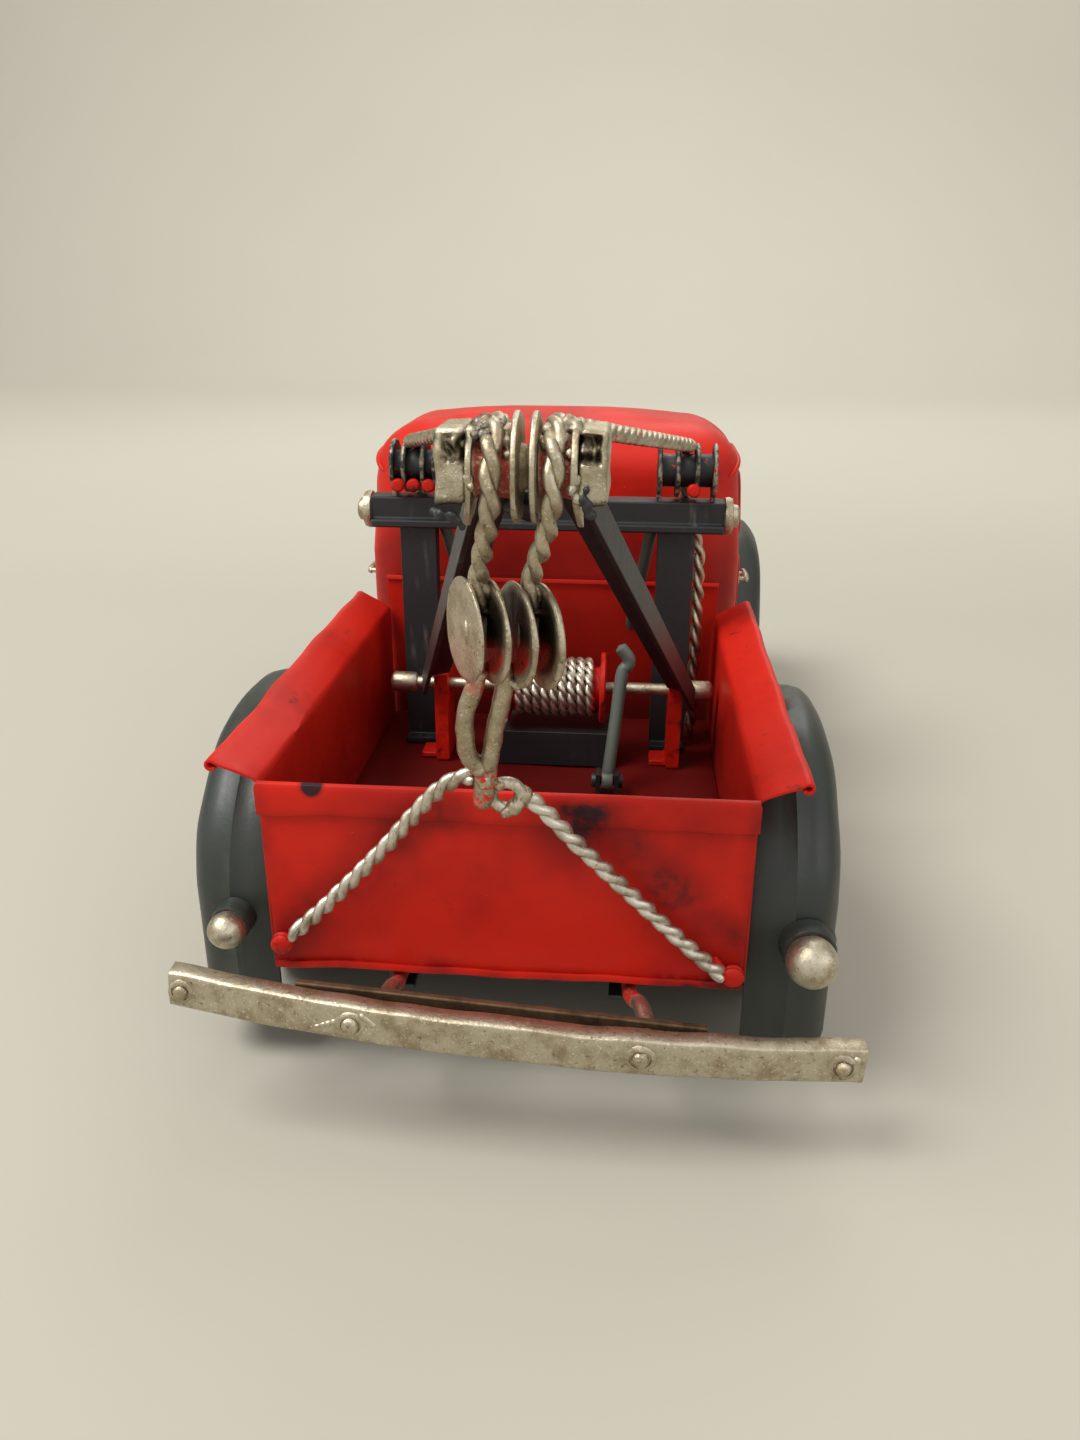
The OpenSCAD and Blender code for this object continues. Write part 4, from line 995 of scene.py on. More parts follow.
def tailgate():
    """One folded sheet: a panel, a hem along its foot and a deep lip along its top."""
    hem = ((-0.3, 0.9), (-0.42, 0.3), (-0.1, 0.05), (0.2, 0.3))
    lip_fold = ((0.12, 0.25), (-0.12, 0.05), (-0.4, 0.12), (-0.52, 0.5), (-0.5, 1.6), (-0.48, 2.6),
                (-0.42, 3.5))
    path = [(gate_y + out, gate_low + up) for out, up in hem]
    path += [(gate_y + 0.2, z) for z in spread(gate_low, gate_high - 0.6, 14)[1:]]
    path += [(gate_y + out, gate_high - down) for out, down in lip_fold]
    last = len(path) - 1
    rows = []
    for i, (y, z) in enumerate(path):
        lip = i >= last - 3
        half = bed_x + (0.0 if lip else -0.15 - 0.3 * step(-z, -gate_high, -gate_low))
        row = []
        for x in spread(-half, half, 64):
            sag = waver(v(x, 0, z), 9, 0.22, 1) + waver(v(x, 0, z), 3, 0.07, 2)
            drop = waver(v(x, 0, 0), 7, 0.35, 4) if i in (0, 1, 2, 3, last) else 0
            row.append(v(x, y + sag * (0.5 if i > 3 else 0.25), z + drop))
        rows.append(row)
    piece = build("tailgate_sheet", *grid(rows), red_gate, "truck", "red_paint", 60, ["tailgate"])
    thicken(piece, 0.36, 0.1, 0)


tailgate()


def bed_side(name, side):
    """One sheet: an upright wall, a flared rail and a rolled edge."""
    wall_x = bed_x - 0.3
    rail = span("bed_side_right")[1]
    curl = (rail.x - 0.72, rail.z - 0.62)
    path = [(wall_x, z) for z in (15.7, 20, 24, 28, 32, 35.5, 37.3)]
    path += [(wall_x + 0.12, 37.8), (wall_x + 0.5, 38.15), (wall_x + 2.2, 39.1),
             (wall_x + 3.8, 39.95)] + arc(*curl, 0.5, 120, -150, 10)
    tail, front, wall_end = -71.3, -4.2, -70.9
    rows = []
    for y in spread(tail, front, 60):
        row = []
        for k, (x, z) in enumerate(path):
            wave = waver(v(y, 0, 0), 8, 0.5, 6 + side) if k > 7 else waver(v(y, z, 0), 12, 0.2, 3)
            end = max(0, 1 - (y - tail) / 2.5) if k > 9 else 0
            row.append(v(side * (x + wave * 0.35 + end * 0.15), y if k > 8 else max(y, wall_end),
                         z + wave * 0.5 - end * 0.25))
        rows.append(row)
    piece = build(name + "_sheet", *grid(rows), red_side, "truck", "red_paint", 60, [name])
    thicken(piece, 0.36, 0.1, 0)


def side_shade_and_rubs(f):
    """Painted shade on the inner walls, darker towards the bed's floor, and a few rubs along the rail."""
    x, y, z = f.parts
    # Painted shade: the inner faces darken towards the floor.
    low = z.fall(20, 37.5) * 0.75 * abs(x).fall(26.2, 26.4)
    rub = f.noise(2.5, 3, 0.6, seed=33).rise(0.62, 0.7) * z.rise(37.5, 38.5) * 0.8
    return low.most(rub)


# Bed sides: red with painted shade inside and rubs along the rail.
red_side = red_enamel("red_enamel_bed_sides_painted_shade", side_shade_and_rubs, 9.0)
bed_side("bed_side_left", -1)
bed_side("bed_side_right", 1)


def floor_and_headboard():
    """The bed's floor and front wall as folded sheets with a little unevenness."""
    rows = [[v(x, y, bed_high.z - 0.2 + waver(v(x, y, 0), 12, 0.25, 8))
             for x in spread(bed_low.x, bed_high.x, 40)] for y in spread(bed_low.y, bed_high.y, 50)]
    piece = build("bed_floor_sheet", *grid(rows), red_bed_painted_shade, "truck", "red_paint", 60, ["bed_floor"])
    thicken(piece, 0.4, 0.08)
    low, high = span("headboard")
    path = [(low.y + 0.3, z) for z in spread(low.z, high.z - 0.7, 16)]
    path += [(low.y + 0.25, high.z - 0.25), (low.y, high.z - 0.1), (low.y - 0.1, high.z - 0.5)]
    rows = [[v(x, y + waver(v(x, 0, z), 9, 0.15, 9), z) for x in spread(low.x, high.x, 40)]
            for y, z in path]
    piece = build("headboard_sheet", *grid(rows), red_bed_painted_shade, "truck", "red_paint", 60, ["headboard"])
    thicken(piece, 0.4, 0.08, 0)


floor_and_headboard()


def chain_rivets():
    """Domed red rivets with the looped wire end round each."""
    low, high = span("chain_rivets")
    parts = []
    for side in (-1, 1):
        at = v(side * 24.9, gate_y, low.z + 1.2 if side > 0 else high.z - 1.2)
        parts.append(turned([(0.5, 0), (0.55, 0.9), (1.15, 1.0), (1.2, 1.3), (0.95, 1.6), (0.4, 1.7)], at))
        parts.append(ring(at + v(0, -0.62, 0), 0.95, 0.62, (0, 1, 0)))
        parts.append(tube([at + v(-side * 0.9, -0.7, 0.5), at + v(-side * 1.5, -0.8, 1.3),
                           at + v(-side * 2.1, -0.9, 2.0)], 0.42, 10))
    piece = build("chain_rivet_heads", *join_parts(parts), red_crane, "truck", "red_paint", 45,
                  ["chain_rivets"])
    lumpy(piece, 0.8, 0.08, 5.0)


chain_rivets()

# ---------------------------------------------------------------- rear bumper and lamps

bumper_turn = Matrix.Rotation(math.radians(4), 3, "Y")
bumper_at = v(1.7, -83.2, 15.35)
bumper_half = 36.5
bumper_bow = 3
bumper_r = (bumper_half ** 2 + bumper_bow ** 2) / (2 * bumper_bow)
bumper_h = 3.9
front_bow = 3.4


def on_bumper(x, depth, height):
    """A point on the leaning bumper: along it, behind its face and above its middle."""
    bow = bumper_r - math.sqrt(bumper_r ** 2 - x * x)
    return bumper_at + bumper_turn @ v(x, bow + depth, height)


def channel_section(tall, margin):
    """A bumper's channel as (depth, height) pairs; margin sets where its flat face begins."""
    top = tall / 2
    return mirrored([(2.1, top - 0.05), (1.2, top), (0.55, top - 0.02), (0.26, top - 0.14),
                     (0.2, top - 0.5), (0.2, top - margin)], [(0.2, 0)])


def rear_bumper():
    half, wave = bumper_half - 0.1, 0.22
    rows = [[on_bumper(x, d + waver(v(x, 0, 0), 6, wave, 1),
                       h + waver(v(x, d, 0), 5, wave, 2 + (h > 0)))
             for d, h in channel_section(bumper_h, 1.3)] for x in spread(-half, half, 80)]
    piece = build("rear_bumper_channel", *grid(rows), bumper_metal, "truck", "nickel", 60,
                  ["rear_bumper"])
    thicken(piece, 0.42, 0.12, 0)


rear_bumper()


def bolt(x, radius):
    """A domed head on a collar, soldered to the bumper's face."""
    out = on_bumper(x, -1, 0) - on_bumper(x, 0, 0)
    return turned([(radius, -0.1), (radius + 0.08, 0.15), (radius - 0.12, 0.34), (radius * 0.72, 0.36),
                   (radius * 0.68, 0.2), (radius * 0.6, 0.22), (radius * 0.56, 0.6), (radius * 0.4, 0.82),
                   (radius * 0.12, 0.86)], on_bumper(x, 0.1, 0), out, 40)


def bumper_bolts():
    heads = [bolt(x, radius) for x, radius in ((-35, 1.35), (-16.4, 1.5), (13.3, 1.55), (34, 1.4))]
    lumpy(build("rear_bolt_heads", *join_parts(heads), bumper_metal, "truck", "nickel", 50),
          1.1, 0.22, 11.0)
    drops = [(*on_bumper(-17.6 - 0.6 * k, 0.1, 0.2 - 0.28 * k), 0.5 - 0.05 * k) for k in range(7)]
    drops += [(*on_bumper(35.4, 0.15, 0.9 - 0.6 * k), 0.5) for k in range(4)]
    drops += [(*on_bumper(-15.2 + 0.4 * k, 0.1, 1.2 - 0.3 * k), 0.42) for k in range(4)]
    solder("rear_bolt_solder", drops, voxel=0.14, rough=0.1, seed=11.0, material=bumper_metal)
    end = span("front_bumper")[1]
    heads = []
    for x in (-34, -13, 13, 34):
        bow = front_bow * (x / end.x) ** 2
        heads.append(turned([(1.35, -0.1), (1.35, 0.35), (1.15, 0.6), (0.7, 0.95), (0.2, 1.05)],
                            v(x, end.y - bow - 1.1, 15), (0, 1, 0), 24))
    build("bolt_head_domes", *join_parts(heads), silver_plain, "truck", "nickel", 40, ["bolt_heads"])


bumper_bolts()


def wire_irons():
    """Two bent wires from under the bed to the bumper, red where they leave it."""
    left = [(-12.4, -65, 13.4), (-12.2, -71, 13.8), (-12, -75, 15.9), (-12, -78, 16.7),
            (-12, -80.1, 16.7)]
    right = [(13.6, -65, 12.6), (14, -71, 13.5), (15, -75, 15.2), (15.6, -78, 15.3),
             (15.8, -80.1, 15.1)]
    parts = [tube(evenly(smooth(route, 8), 0.35), rounded_tip(0.85, 0.03), 14) for route in (left, right)]
    piece = build("bumper_irons", *join_parts(parts), iron_metal, "truck", "nickel", 60,
                  ["bumper_wire_irons"])
    lumpy(piece, 1.4, 0.1, 3.0)


iron_metal = nickel("iron_metal", lambda f: f.parts[1].rise(-74.6, -73.6), 0.05, 23.0)
wire_irons()


def tail_lamps():
    """Silver half balls in dark cups, each on a short red-flecked seat."""
    cups, balls = [], []
    for side, r in ((-1, 2.1), (1, 2.8)):
        at = v(side * 32 + 1, -70.7, 20.1)
        dome = [(0.5, -0.4), (r * 0.72, -0.3)] + [
            (r * math.cos(math.radians(a)), r * 0.7 + r * math.sin(math.radians(a)))
            for a in range(-38, 91, 8)]
        balls.append(turned(dome, at, (0, -1, 0), 48))
        cups.append(turned([(r * 0.5, 0.5), (r * 1.0, 0.42), (r * 1.06, 0.1), (r * 1.04, -0.9),
                            (r * 1.12, -1.6), (r * 1.0, -1.75)], at, (0, -1, 0), 40))
    lumpy(build("tail_lamp_domes", *join_parts(balls), lamp_metal, "truck", "nickel", 60,
                ["tail_lamp_balls"]), 1.8, 0.08, 2.0)
    lumpy(build("tail_lamp_sockets", *join_parts(cups), fender_paint, "truck", "dark_paint", 50,
                ["tail_lamp_cups"]), 1.2, 0.12, 4.0)


def lamp_red(f):
    seat = f.parts[1].rise(-72, -71.2)
    return seat * f.noise(1.6, 2, 0.6, seed=61).rise(0.46, 0.54)


lamp_metal = nickel("lamp_metal", lamp_red, 0.04, 26.0, linear(196, 188, 168))
tail_lamps()

# ---------------------------------------------------------------- fenders

rear_axle_y = -46
front_axle_y = 57
axle_z = 12.5
arch_r = 14.4
beside_cab_x = 30.08
cab_from_y, cab_to_y = -2.2, 36.1


def rear_outline(g):
    y = rear_axle_y
    return [(y - 23 + g, 6)] + [(p.x, p.y) for p in smooth([
        (y - 23 + g, 23), (y - 21.4 + g, 28), (y - 17 + g * 0.8, 33.6 - g * 0.6), (y - 9, 38.6 - g),
        (y, 39.8 - g), (y + 9, 38.6 - g), (y + 17 - g * 0.8, 34.2 - g * 0.6), (y + 22.8 - g, 26),
        (y + 26 - g, 12)], 6)] + [(y + 26 - g, 6)]


def front_outline(g):
    y = front_axle_y
    return [(y - 27.4 + g, 6)] + [(p.x, p.y) for p in smooth([
        (y - 26 + g, 12), (y - 20.4 + g * 0.8, 26 - g * 0.6), (y - 10, 38 - g), (y, 41 - g),
        (y + 10, 40 - g), (y + 17.6 - g * 0.8, 35.4 - g * 0.6), (y + 21.6 - g, 27),
        (y + 22.8 - g, 18)], 6)] + [(y + 22.8 - g, 6)]


def arch_point(t, y, foot):
    """A point on the wheel opening: up its rear edge, round the wheel and down in front."""
    straight = axle_z - foot
    total = 2 * straight + math.pi * arch_r
    at = t * total
    if at < straight:
        return y - arch_r, foot + at
    if at > total - straight:
        return y + arch_r, foot + total - at
    a = math.pi * (at - straight) / (math.pi * arch_r)
    return y - arch_r * math.cos(a), axle_z + arch_r * math.sin(a)


def dense(outline, n, foot):
    """An outline cut off at its foot's height, with n points evenly along it."""
    (y0, z0), (y1, z1) = outline[0], outline[1]
    (y3, z3), (y2, z2) = outline[-1], outline[-2]
    start = (y0 + (y1 - y0) * (foot - z0) / (z1 - z0), foot)
    end = (y3 + (y2 - y3) * (foot - z3) / (z2 - z3), foot)
    points = evenly([v(y, z, 0) for y, z in [start] + outline[1:-1] + [end]], 0.1)
    return [points[round(i * (len(points) - 1) / (n - 1))] for i in range(n)]


def clear_of_cab(x, y):
    """Ahead of the cab's front a fender reaches inwards, and beside the cab it stops at it."""
    return max(x, beside_cab_x) if cab_from_y < y < cab_to_y else x


def wall_point(x, edge, opening, share, foot):
    """A point part of the way down a fender's wall, from its crown to the wheel opening."""
    y, z = opening
    top = max(edge.y, foot)
    side = 1 if x > 0 else -1
    near_y = edge.x + (y - edge.x) * share
    return v(side * clear_of_cab(abs(x), near_y), near_y, top + (z - top) * share)


def fender(name, side, outline, sections, axle, foot, inner_wall=False):
    """A pressed fender: rows across its crown, then its side wall down to the wheel opening."""
    n = 72
    arch = [arch_point(i / (n - 1), axle, foot) for i in range(n)]
    rows = []
    if inner_wall:
        x = sections[0][0]
        edge = dense(outline(0), n, foot)
        rows += [[wall_point(side * x, p, opening, share, foot) for p, opening in zip(edge, arch)]
                 for share in (1, 0.5, 0.15)]
    for x, g, top, rise in sections:
        edge = dense(outline(g - rise), n, foot)
        rows.append([v(side * clear_of_cab(x, p.x), p.x, min(max(p.y, foot), top)) for p in edge])
    x, g, _, _ = sections[-1]
    edge = dense(outline(g), n, foot)
    for share in (0.04, 0.3, 0.6, 0.9, 0.97, 1):
        swell = 0.12 * math.sin(math.pi * share) + 0.25 * step(share, 0.85, 0.97) * 0.4
        rows.append([wall_point(side * (x + swell), p, opening, share, foot)
                     for p, opening in zip(edge, arch)])
    rows.append([v(side * (x - 0.9), y, z) for y, z in arch])
    piece = build(name + "_pressing", *grid(rows), fender_paint, "truck", "dark_paint", 50, [name])
    thicken(piece, 0.45, 0.1)


# how far out a section lies, how far its outline draws in, its highest z and its ridge's rise
rear_sections = [(26.6, 0, 36.7, 0), (29.6, 0, 38.2, 0), (31.2, 0, 38.9, 0), (31.45, 0, 39.2, 0.16),
                 (31.7, 0, 39.1, 0), (33.2, 0.05, 50, 0), (34.6, 0.4, 50, 0), (35.5, 1.2, 50, 0),
                 (36.2, 2.3, 50, 0), (36.65, 3.5, 50, 0), (36.8, 4.8, 50, 0)]
front_sections = [(x, g, 50, 0) for x, g in (
    (24.1, 0), (27, 0), (30, 0), (33, 0), (34.8, 0.35), (36.6, 1.3), (37.8, 2.6), (38.6, 3.9),
    (38.95, 5.2))]
for side, word in ((-1, "left"), (1, "right")):
    fender("rear_fender_" + word, side, rear_outline, rear_sections, rear_axle_y, 6)

# ---------------------------------------------------------------- gantry and winch

for node, width, material in (
        ("gantry_posts", 0.22, crane_paint), ("gantry_bar", 0.28, crane_paint),
        ("boom_left", 0.12, crane_paint), ("boom_right", 0.12, crane_paint),
        ("lever_bracket", 0.12, crane_paint), ("winch_base", 0.3, crane_paint),
        ("boom_feet", 0.3, red_crane), ("bumper_backing_bar", 0.15, brown_steel)):
    soften(node, width, material)


def gantry_end_caps():
    low, high = span("gantry_end_caps")
    parts = []
    for side in (-1, 1):
        at = v(side * (high.x - 2.2), (low.y + high.y) / 2, (low.z + high.z) / 2)
        parts.append(turned([(2.2, -0.1), (2.62, 0.1), (2.7, 0.6), (2.5, 1.15), (1.7, 1.3), (1.55, 1.9),
                             (1.2, 2.15), (0.5, 2.2)], at, (side, 0, 0), 40))
    lumpy(build("gantry_cap_turnings", *join_parts(parts), silver, "truck", "nickel", 40,
                ["gantry_end_caps"]), 1.6, 0.1, 7.0)


gantry_end_caps()


sheave_y, sheave_z = -14, 62.2


def sheaves(name, x, steps, bolts):
    """Four grooved discs on a hub, their two uprights and the bolt heads below."""
    axle = v(x, sheave_y, sheave_z)
    parts, heads = [], []
    offsets = [-1.35 - steps, -1.35, 1.35, 1.35 + steps]
    rim = mirrored([(1.6, -0.36), (3.1, -0.36), (3.62, -0.3), (3.8, -0.1)])
    for d in offsets:
        parts.append(turned(rim, axle + v(d, 0, 0), (1, 0, 0), 48))
    reach = 1.75 + steps
    parts.append(turned(mirrored([(0.8, -reach), (1.1, -reach), (2.3, 0.4 - reach)]), axle,
                        (1, 0, 0), 32))
    for d in (offsets[0], offsets[3]):
        parts.append(rounded_block(axle + v(d - 0.32, -1.6, -4.2), axle + v(d + 0.32, 1.6, 0.4), 0.15, 5))
    for d in bolts:
        heads.append(turned([(0.45, -0.2), (0.95, 0), (0.95, 0.5), (0.7, 0.8), (0.3, 0.85)],
                            axle + v(d, -3, -2.3), (0, -1, 0), 20))
        parts.append(tube([axle + v(d, -3.1, -2.3), axle + v(d, 0, -2.3)], 0.45, 12))
    piece = build(name + "_discs", *join_parts(parts), sheave_paint, "truck", "black_paint", 40, [name])
    lumpy(piece, 1.6, 0.1, x)
    build(name + "_bolt_heads", *join_parts(heads), red_crane, "truck", "red_paint", 40)


def sheave_finish():
    """Crane black, rubbed to bare silver round the rims and flecked with red."""
    f = dark_enamel("sheave_black", CRANE, CRANE_WORN, 0.4, 15.0, 0.42)
    x, y, z = f.parts
    away = ((y - sheave_y) * (y - sheave_y) + (z - sheave_z) * (z - sheave_z)) ** 0.5
    rim = away.rise(3.5, 3.8) * f.noise(1.1, 3, 0.6, seed=70).rise(0.42, 0.6)
    fleck = f.noise(1.5, 2, 0.6, seed=71).rise(0.62, 0.66)
    color = f.mix(rim * 0.75, CRANE, NICKEL)
    f.set("Base Color", f.mix(fleck, color, RED))
    f.set("Metallic", rim * 0.7)
    return f.material


sheave_paint = sheave_finish()
sheaves("sheaves_left", -19, 1.75, (-2.2, 0, 2.2))
sheaves("sheaves_right", 20, 2.5, (0.9,))

shaft_at = v(2, -21, 31.4)
shaft_r = 0.9
drum_r = 3.0
coil_r = 3.72


def winch():
    """The shaft with its knobs, the flanged drum and nine turns of twisted wire."""
    low, high = span("winch_shaft")
    parts = [tube([v(x, shaft_at.y, shaft_at.z) for x in spread(low.x + 0.1, high.x - 0.1, 20)],
                  shaft_r, 24)]
    for a, b, side in ((low.x, -18.6, -1), (20.9, high.x, 1)):
        wide = b - a
        parts.append(turned([(shaft_r, 0), (1.35, 0.1), (1.5, 0.4), (1.5, wide - 0.6), (1.2, wide - 0.2),
                             (0.6, wide)],
                            v(b if side < 0 else a, shaft_at.y, shaft_at.z), (side, 0, 0), 32))
    lumpy(build("winch_shaft_turning", *join_parts(parts), silver_plain, "winch", "nickel", 40,
                ["winch_shaft"]), 1.5, 0.08, 1.0)
    low, high = span("winch_drum")
    flange = mirrored([(drum_r, -0.42), (4.9, -0.42), (5.16, -0.25)])
    parts = [turned(flange, v(x, shaft_at.y, shaft_at.z), (1, 0, 0), 56)
             for x in (low.x + 0.45, high.x - 0.45)]
    parts.append(tube([v(x, shaft_at.y, shaft_at.z) for x in spread(low.x + 0.4, high.x - 0.4, 8)],
                      drum_r, 36))
    lumpy(build("winch_drum_spool", *join_parts(parts), red_crane, "winch", "red_paint", 40,
                ["winch_drum"]), 2, 0.1, 3.0)
    turns, length = 9, 13.2
    pitch = length / turns
    coil = []
    for k in range(turns * 40 + 1):
        a = math.tau * k / 40
        coil.append(v(shaft_at.x - length / 2 + pitch * (0.5 + (turns - 1) * k / (turns * 40)),
                      shaft_at.y + coil_r * math.cos(a), shaft_at.z + coil_r * math.sin(a)))
    verts, faces = twisted(coil, 0.82, 0.32, 3.4, 0.3, sides=8)
    build("wound_wire", verts, faces, chain_silver, "winch", "bright_wire", 80, ["wound_rope"])


winch()


def hand_lever():
    """A rod from its eye up to a cranked grip."""
    at = v(10.2, -33, 21.9)
    bend = at + v(1.6, 4.84, 14.35)
    line = smooth([at + v(0, 0.1, 0.6), at + v(0.2, 0.6, 2), at + v(0.9, 2.7, 8), bend,
                   bend + v(0.7, 0.2, 0.9), bend + v(0.9, 0.3, 1.7), bend + v(0.6, 0.3, 2.5),
                   bend + v(-0.6, 0.3, 4)], 8)
    parts = [tube(evenly(line, 0.4), rounded_tip(0.88, 0.03), 16)]
    eye = mirrored([(0.68, -0.78), (1.25, -0.78), (1.35, -0.6)])
    parts.append(turned(eye, at, (1, 0, 0), 32))
    build("hand_lever_rod", *join_parts(parts), lever_paint, "lever", "lever_paint", 45, ["hand_lever"])


hand_lever()

# ---------------------------------------------------------------- cab


def round_corners(half, back, front, r_back, r_front):
    """The outline of a rectangle with round corners, its back and front ends at given reaches."""
    return (arc(half - r_front, front - r_front, r_front, 0, 90)
            + arc(r_front - half, front - r_front, r_front, 90, 180)
            + arc(r_back - half, back + r_back, r_back, 180, 270)
            + arc(half - r_back, back + r_back, r_back, 270, 360))


def level_ring(half, back, front, r_back, r_front, z):
    """A closed ring round the cab at height z: rounded corners and straight runs between."""
    corners = round_corners(half, back, front, r_back, r_front)
    ring_points = []
    for i, p in enumerate(corners):
        q = corners[(i + 1) % len(corners)]
        steps = 12 if math.dist(p, q) > 8 else 1
        ring_points += [v(p[0] + (q[0] - p[0]) * k / steps, p[1] + (q[1] - p[1]) * k / steps, z)
                        for k in range(steps)]
    return ring_points


def loft(rings, cap_last=False):
    """Closed rings joined one to the next."""
    n = len(rings[0])
    verts = [p for ring_points in rings for p in ring_points]
    faces = ring_faces(len(rings), n)
    if cap_last:
        middle = sum(rings[-1], Vector()) / n
        verts.append(middle)
        start = (len(rings) - 1) * n
        faces += [(start + k, start + (k + 1) % n, len(verts) - 1) for k in range(n)]
    return verts, faces


cab_low, cab_high = span("cab_shell")
belt_z = 46
roof_r = 9
eaves_z = cab_high.z - roof_r
cab_half = cab_high.x
roof_half = cab_half - 0.8
roof_front = cab_high.y - 7
roof_crown = 1.5
window_mid = v(0, 15.5, 53.4)


def cab_ring(z):
    """The cab's outline at a height: upright to the belt, drawn in to the eaves, then domed."""
    if z <= belt_z:
        tuck = 0.5 * step(-z, -cab_low.z - 3, -cab_low.z)
        return level_ring(cab_half - tuck, cab_low.y + tuck, cab_high.y - tuck, 6, 5, z)
    if z <= eaves_z:
        t = (z - belt_z) / (eaves_z - belt_z)
        return level_ring(cab_half + (roof_half - cab_half) * t, cab_low.y,
                          cab_high.y + (roof_front - cab_high.y) * t, 6 + 3 * t, 5 + 4 * t, z)
    inset = roof_r * (1 - math.sqrt(max(0, 1 - ((z - eaves_z) / roof_r) ** 2)))
    r = max(roof_r - inset, 0.4)
    return level_ring(roof_half - inset, cab_low.y + inset, roof_front - inset, r, r, z)


def cab_outer():
    """The shell's outer points and faces, from the foot to the roof's crown."""
    heights = spread(cab_low.z, belt_z, 12) + spread(belt_z, eaves_z, 8)[1:]
    heights += [eaves_z + roof_r * math.sin(math.radians(a)) for a in range(8, 89, 8)]
    rings = []
    for z in heights:
        sink = roof_crown * step(z, eaves_z, cab_high.z)
        rings.append([p - v(0, 0, sink) for p in cab_ring(z)])
    last = rings[-1]
    middle = sum(last, Vector()) / len(last)
    for share in (0.15, 0.35, 0.6, 0.85):
        rings.append([p.lerp(middle, share) + v(0, 0, roof_crown * (1 - (1 - share) ** 2)) for p in last])
    verts, faces = loft(rings, True)
    verts[-1] += v(0, 0, roof_crown * 0.02)
    return verts, faces


def soft_rectangle(w, h, r):
    """The outline of a rectangle with round corners about its middle, as (across, up) pairs."""
    return round_corners(w / 2, -h / 2, h / 2, r, r)


def punch(piece, outline, a, b):
    """Cuts a straight hole: outline points, moved from offset a to offset b."""
    n = len(outline)
    verts = [p + a for p in outline] + [p + b for p in outline]
    faces = [tuple(range(n)), tuple(range(2 * n - 1, n - 1, -1))]
    faces += [(k, n + k, n + (k + 1) % n, (k + 1) % n) for k in range(n)]
    mesh = bpy.data.meshes.new("punch")
    mesh.from_pydata([p * MM for p in verts], [], faces)
    tool = bpy.data.objects.new("punch", mesh)
    bpy.context.scene.collection.objects.link(tool)
    finish_mesh(tool)
    apply(piece, "BOOLEAN", object=tool, operation="DIFFERENCE", solver="EXACT")
    bpy.data.objects.remove(tool)
    bpy.data.meshes.remove(mesh)


def bead(surface, outline, direction, radius=0.42):
    """A round rolled edge that follows a surface along an outline seen along a direction."""
    line = []
    for k, p in enumerate(outline):
        q = outline[(k + 1) % len(outline)]
        for t in range(3):
            start = p.lerp(q, t / 3) - direction * 60
            hit, normal, _, _ = surface.ray_cast(start, direction)
            if hit is not None:
                line.append(hit + normal * radius * 0.15)
    return tube(line, radius, 10, closed=True)


side_window = [v(0, window_mid.y + a, window_mid.z + b) for a, b in soft_rectangle(17, 10, 2.4)]
screens = [[v(side * 11.6 + a, 0, window_mid.z + b) for a, b in soft_rectangle(21.6, 9.6, 2.6)]
           for side in (-1, 1)]


def cab():
    """The shell with its window openings, their rolled beads and a drip rail over each door."""
    verts, faces = cab_outer()
    surface = BVHTree.FromPolygons(verts, faces)
    piece = build("cab_pressing", verts, faces, red_cab, "truck", "red_paint", 60, ["cab_shell"])
    apply(piece, "SOLIDIFY", thickness=0.65 * MM, offset=-1, use_even_offset=True)
    finish_mesh(piece)
    punch(piece, side_window, v(-40, 0, 0), v(40, 0, 0))
    for screen in screens:
        punch(piece, screen, v(0, 20, 0), v(0, 40, 0))
    finish_mesh(piece, 32)
    beads = [bead(surface, side_window, v(side, 0, 0)) for side in (-1, 1)]
    beads += [bead(surface, screen, v(0, -1, 0)) for screen in screens]
    for side in (-1, 1):
        rail = []
        for k in range(31):
            y = 1.5 + 25.5 * k / 30
            height = eaves_z + 2.4 - 2.6 * abs(k / 15 - 1) ** 3
            hit, normal, _, _ = surface.ray_cast(v(side * 60, y, height), v(-side, 0, 0))
            rail.append(hit + normal * 0.1)
        beads.append(tube(rail, rounded_tip(0.42, 0.03), 10))
    build("window_beads_and_drip_rails", *join_parts(beads), red_cab, "truck", "red_paint", 60)


def cab_painted_shadow(f):
    """Painted shadow: the cab's back darkens below the gantry bar, where the bar and the crane shade it."""
    x, y, z = f.parts
    return y.fall(-1, 3) * z.fall(46, 56) * 0.5


# Cab red with painted shadow low on its back.
red_cab = red_enamel("red_enamel_cab_painted_shadow", None, 12.0, cab_painted_shadow)
cab()


def door_panels():
    """Door skins with a round edge, a swage line and a step along the foot."""
    low, high = span("door_panels")
    parts = []
    wide, tall = 20, high.z - low.z
    middle = v(0, window_mid.y, (low.z + high.z) / 2)
    inner = cab_half - 0.05
    for side in (-1, 1):
        rings = []
        for inset, x in ((0, inner), (0, inner + 0.28), (0.1, inner + 0.42), (0.3, inner + 0.5),
                         (0.9, inner + 0.52), (1.3, inner + 0.38), (1.7, inner + 0.38),
                         (2.1, inner + 0.5), (3.5, inner + 0.52)):
            rings.append([middle + v(side * x, a, b) for a, b in soft_rectangle(
                wide - 2 * inset, tall - 2 * inset, 2.2 - min(inset, 1.2) * 0.8)])
        parts.append(loft(rings, True))
        swage = [v(side * (inner + 0.42), middle.y + y, 37.4)
                 for y in spread(2.6 - wide / 2, wide / 2 - 2.6, 20)]
        parts.append(tube(swage, rounded_tip(0.4, 0.06), 10))
    build("door_skins", *join_parts(parts), red_cab, "truck", "red_paint", 50, ["door_panels"])


door_panels()


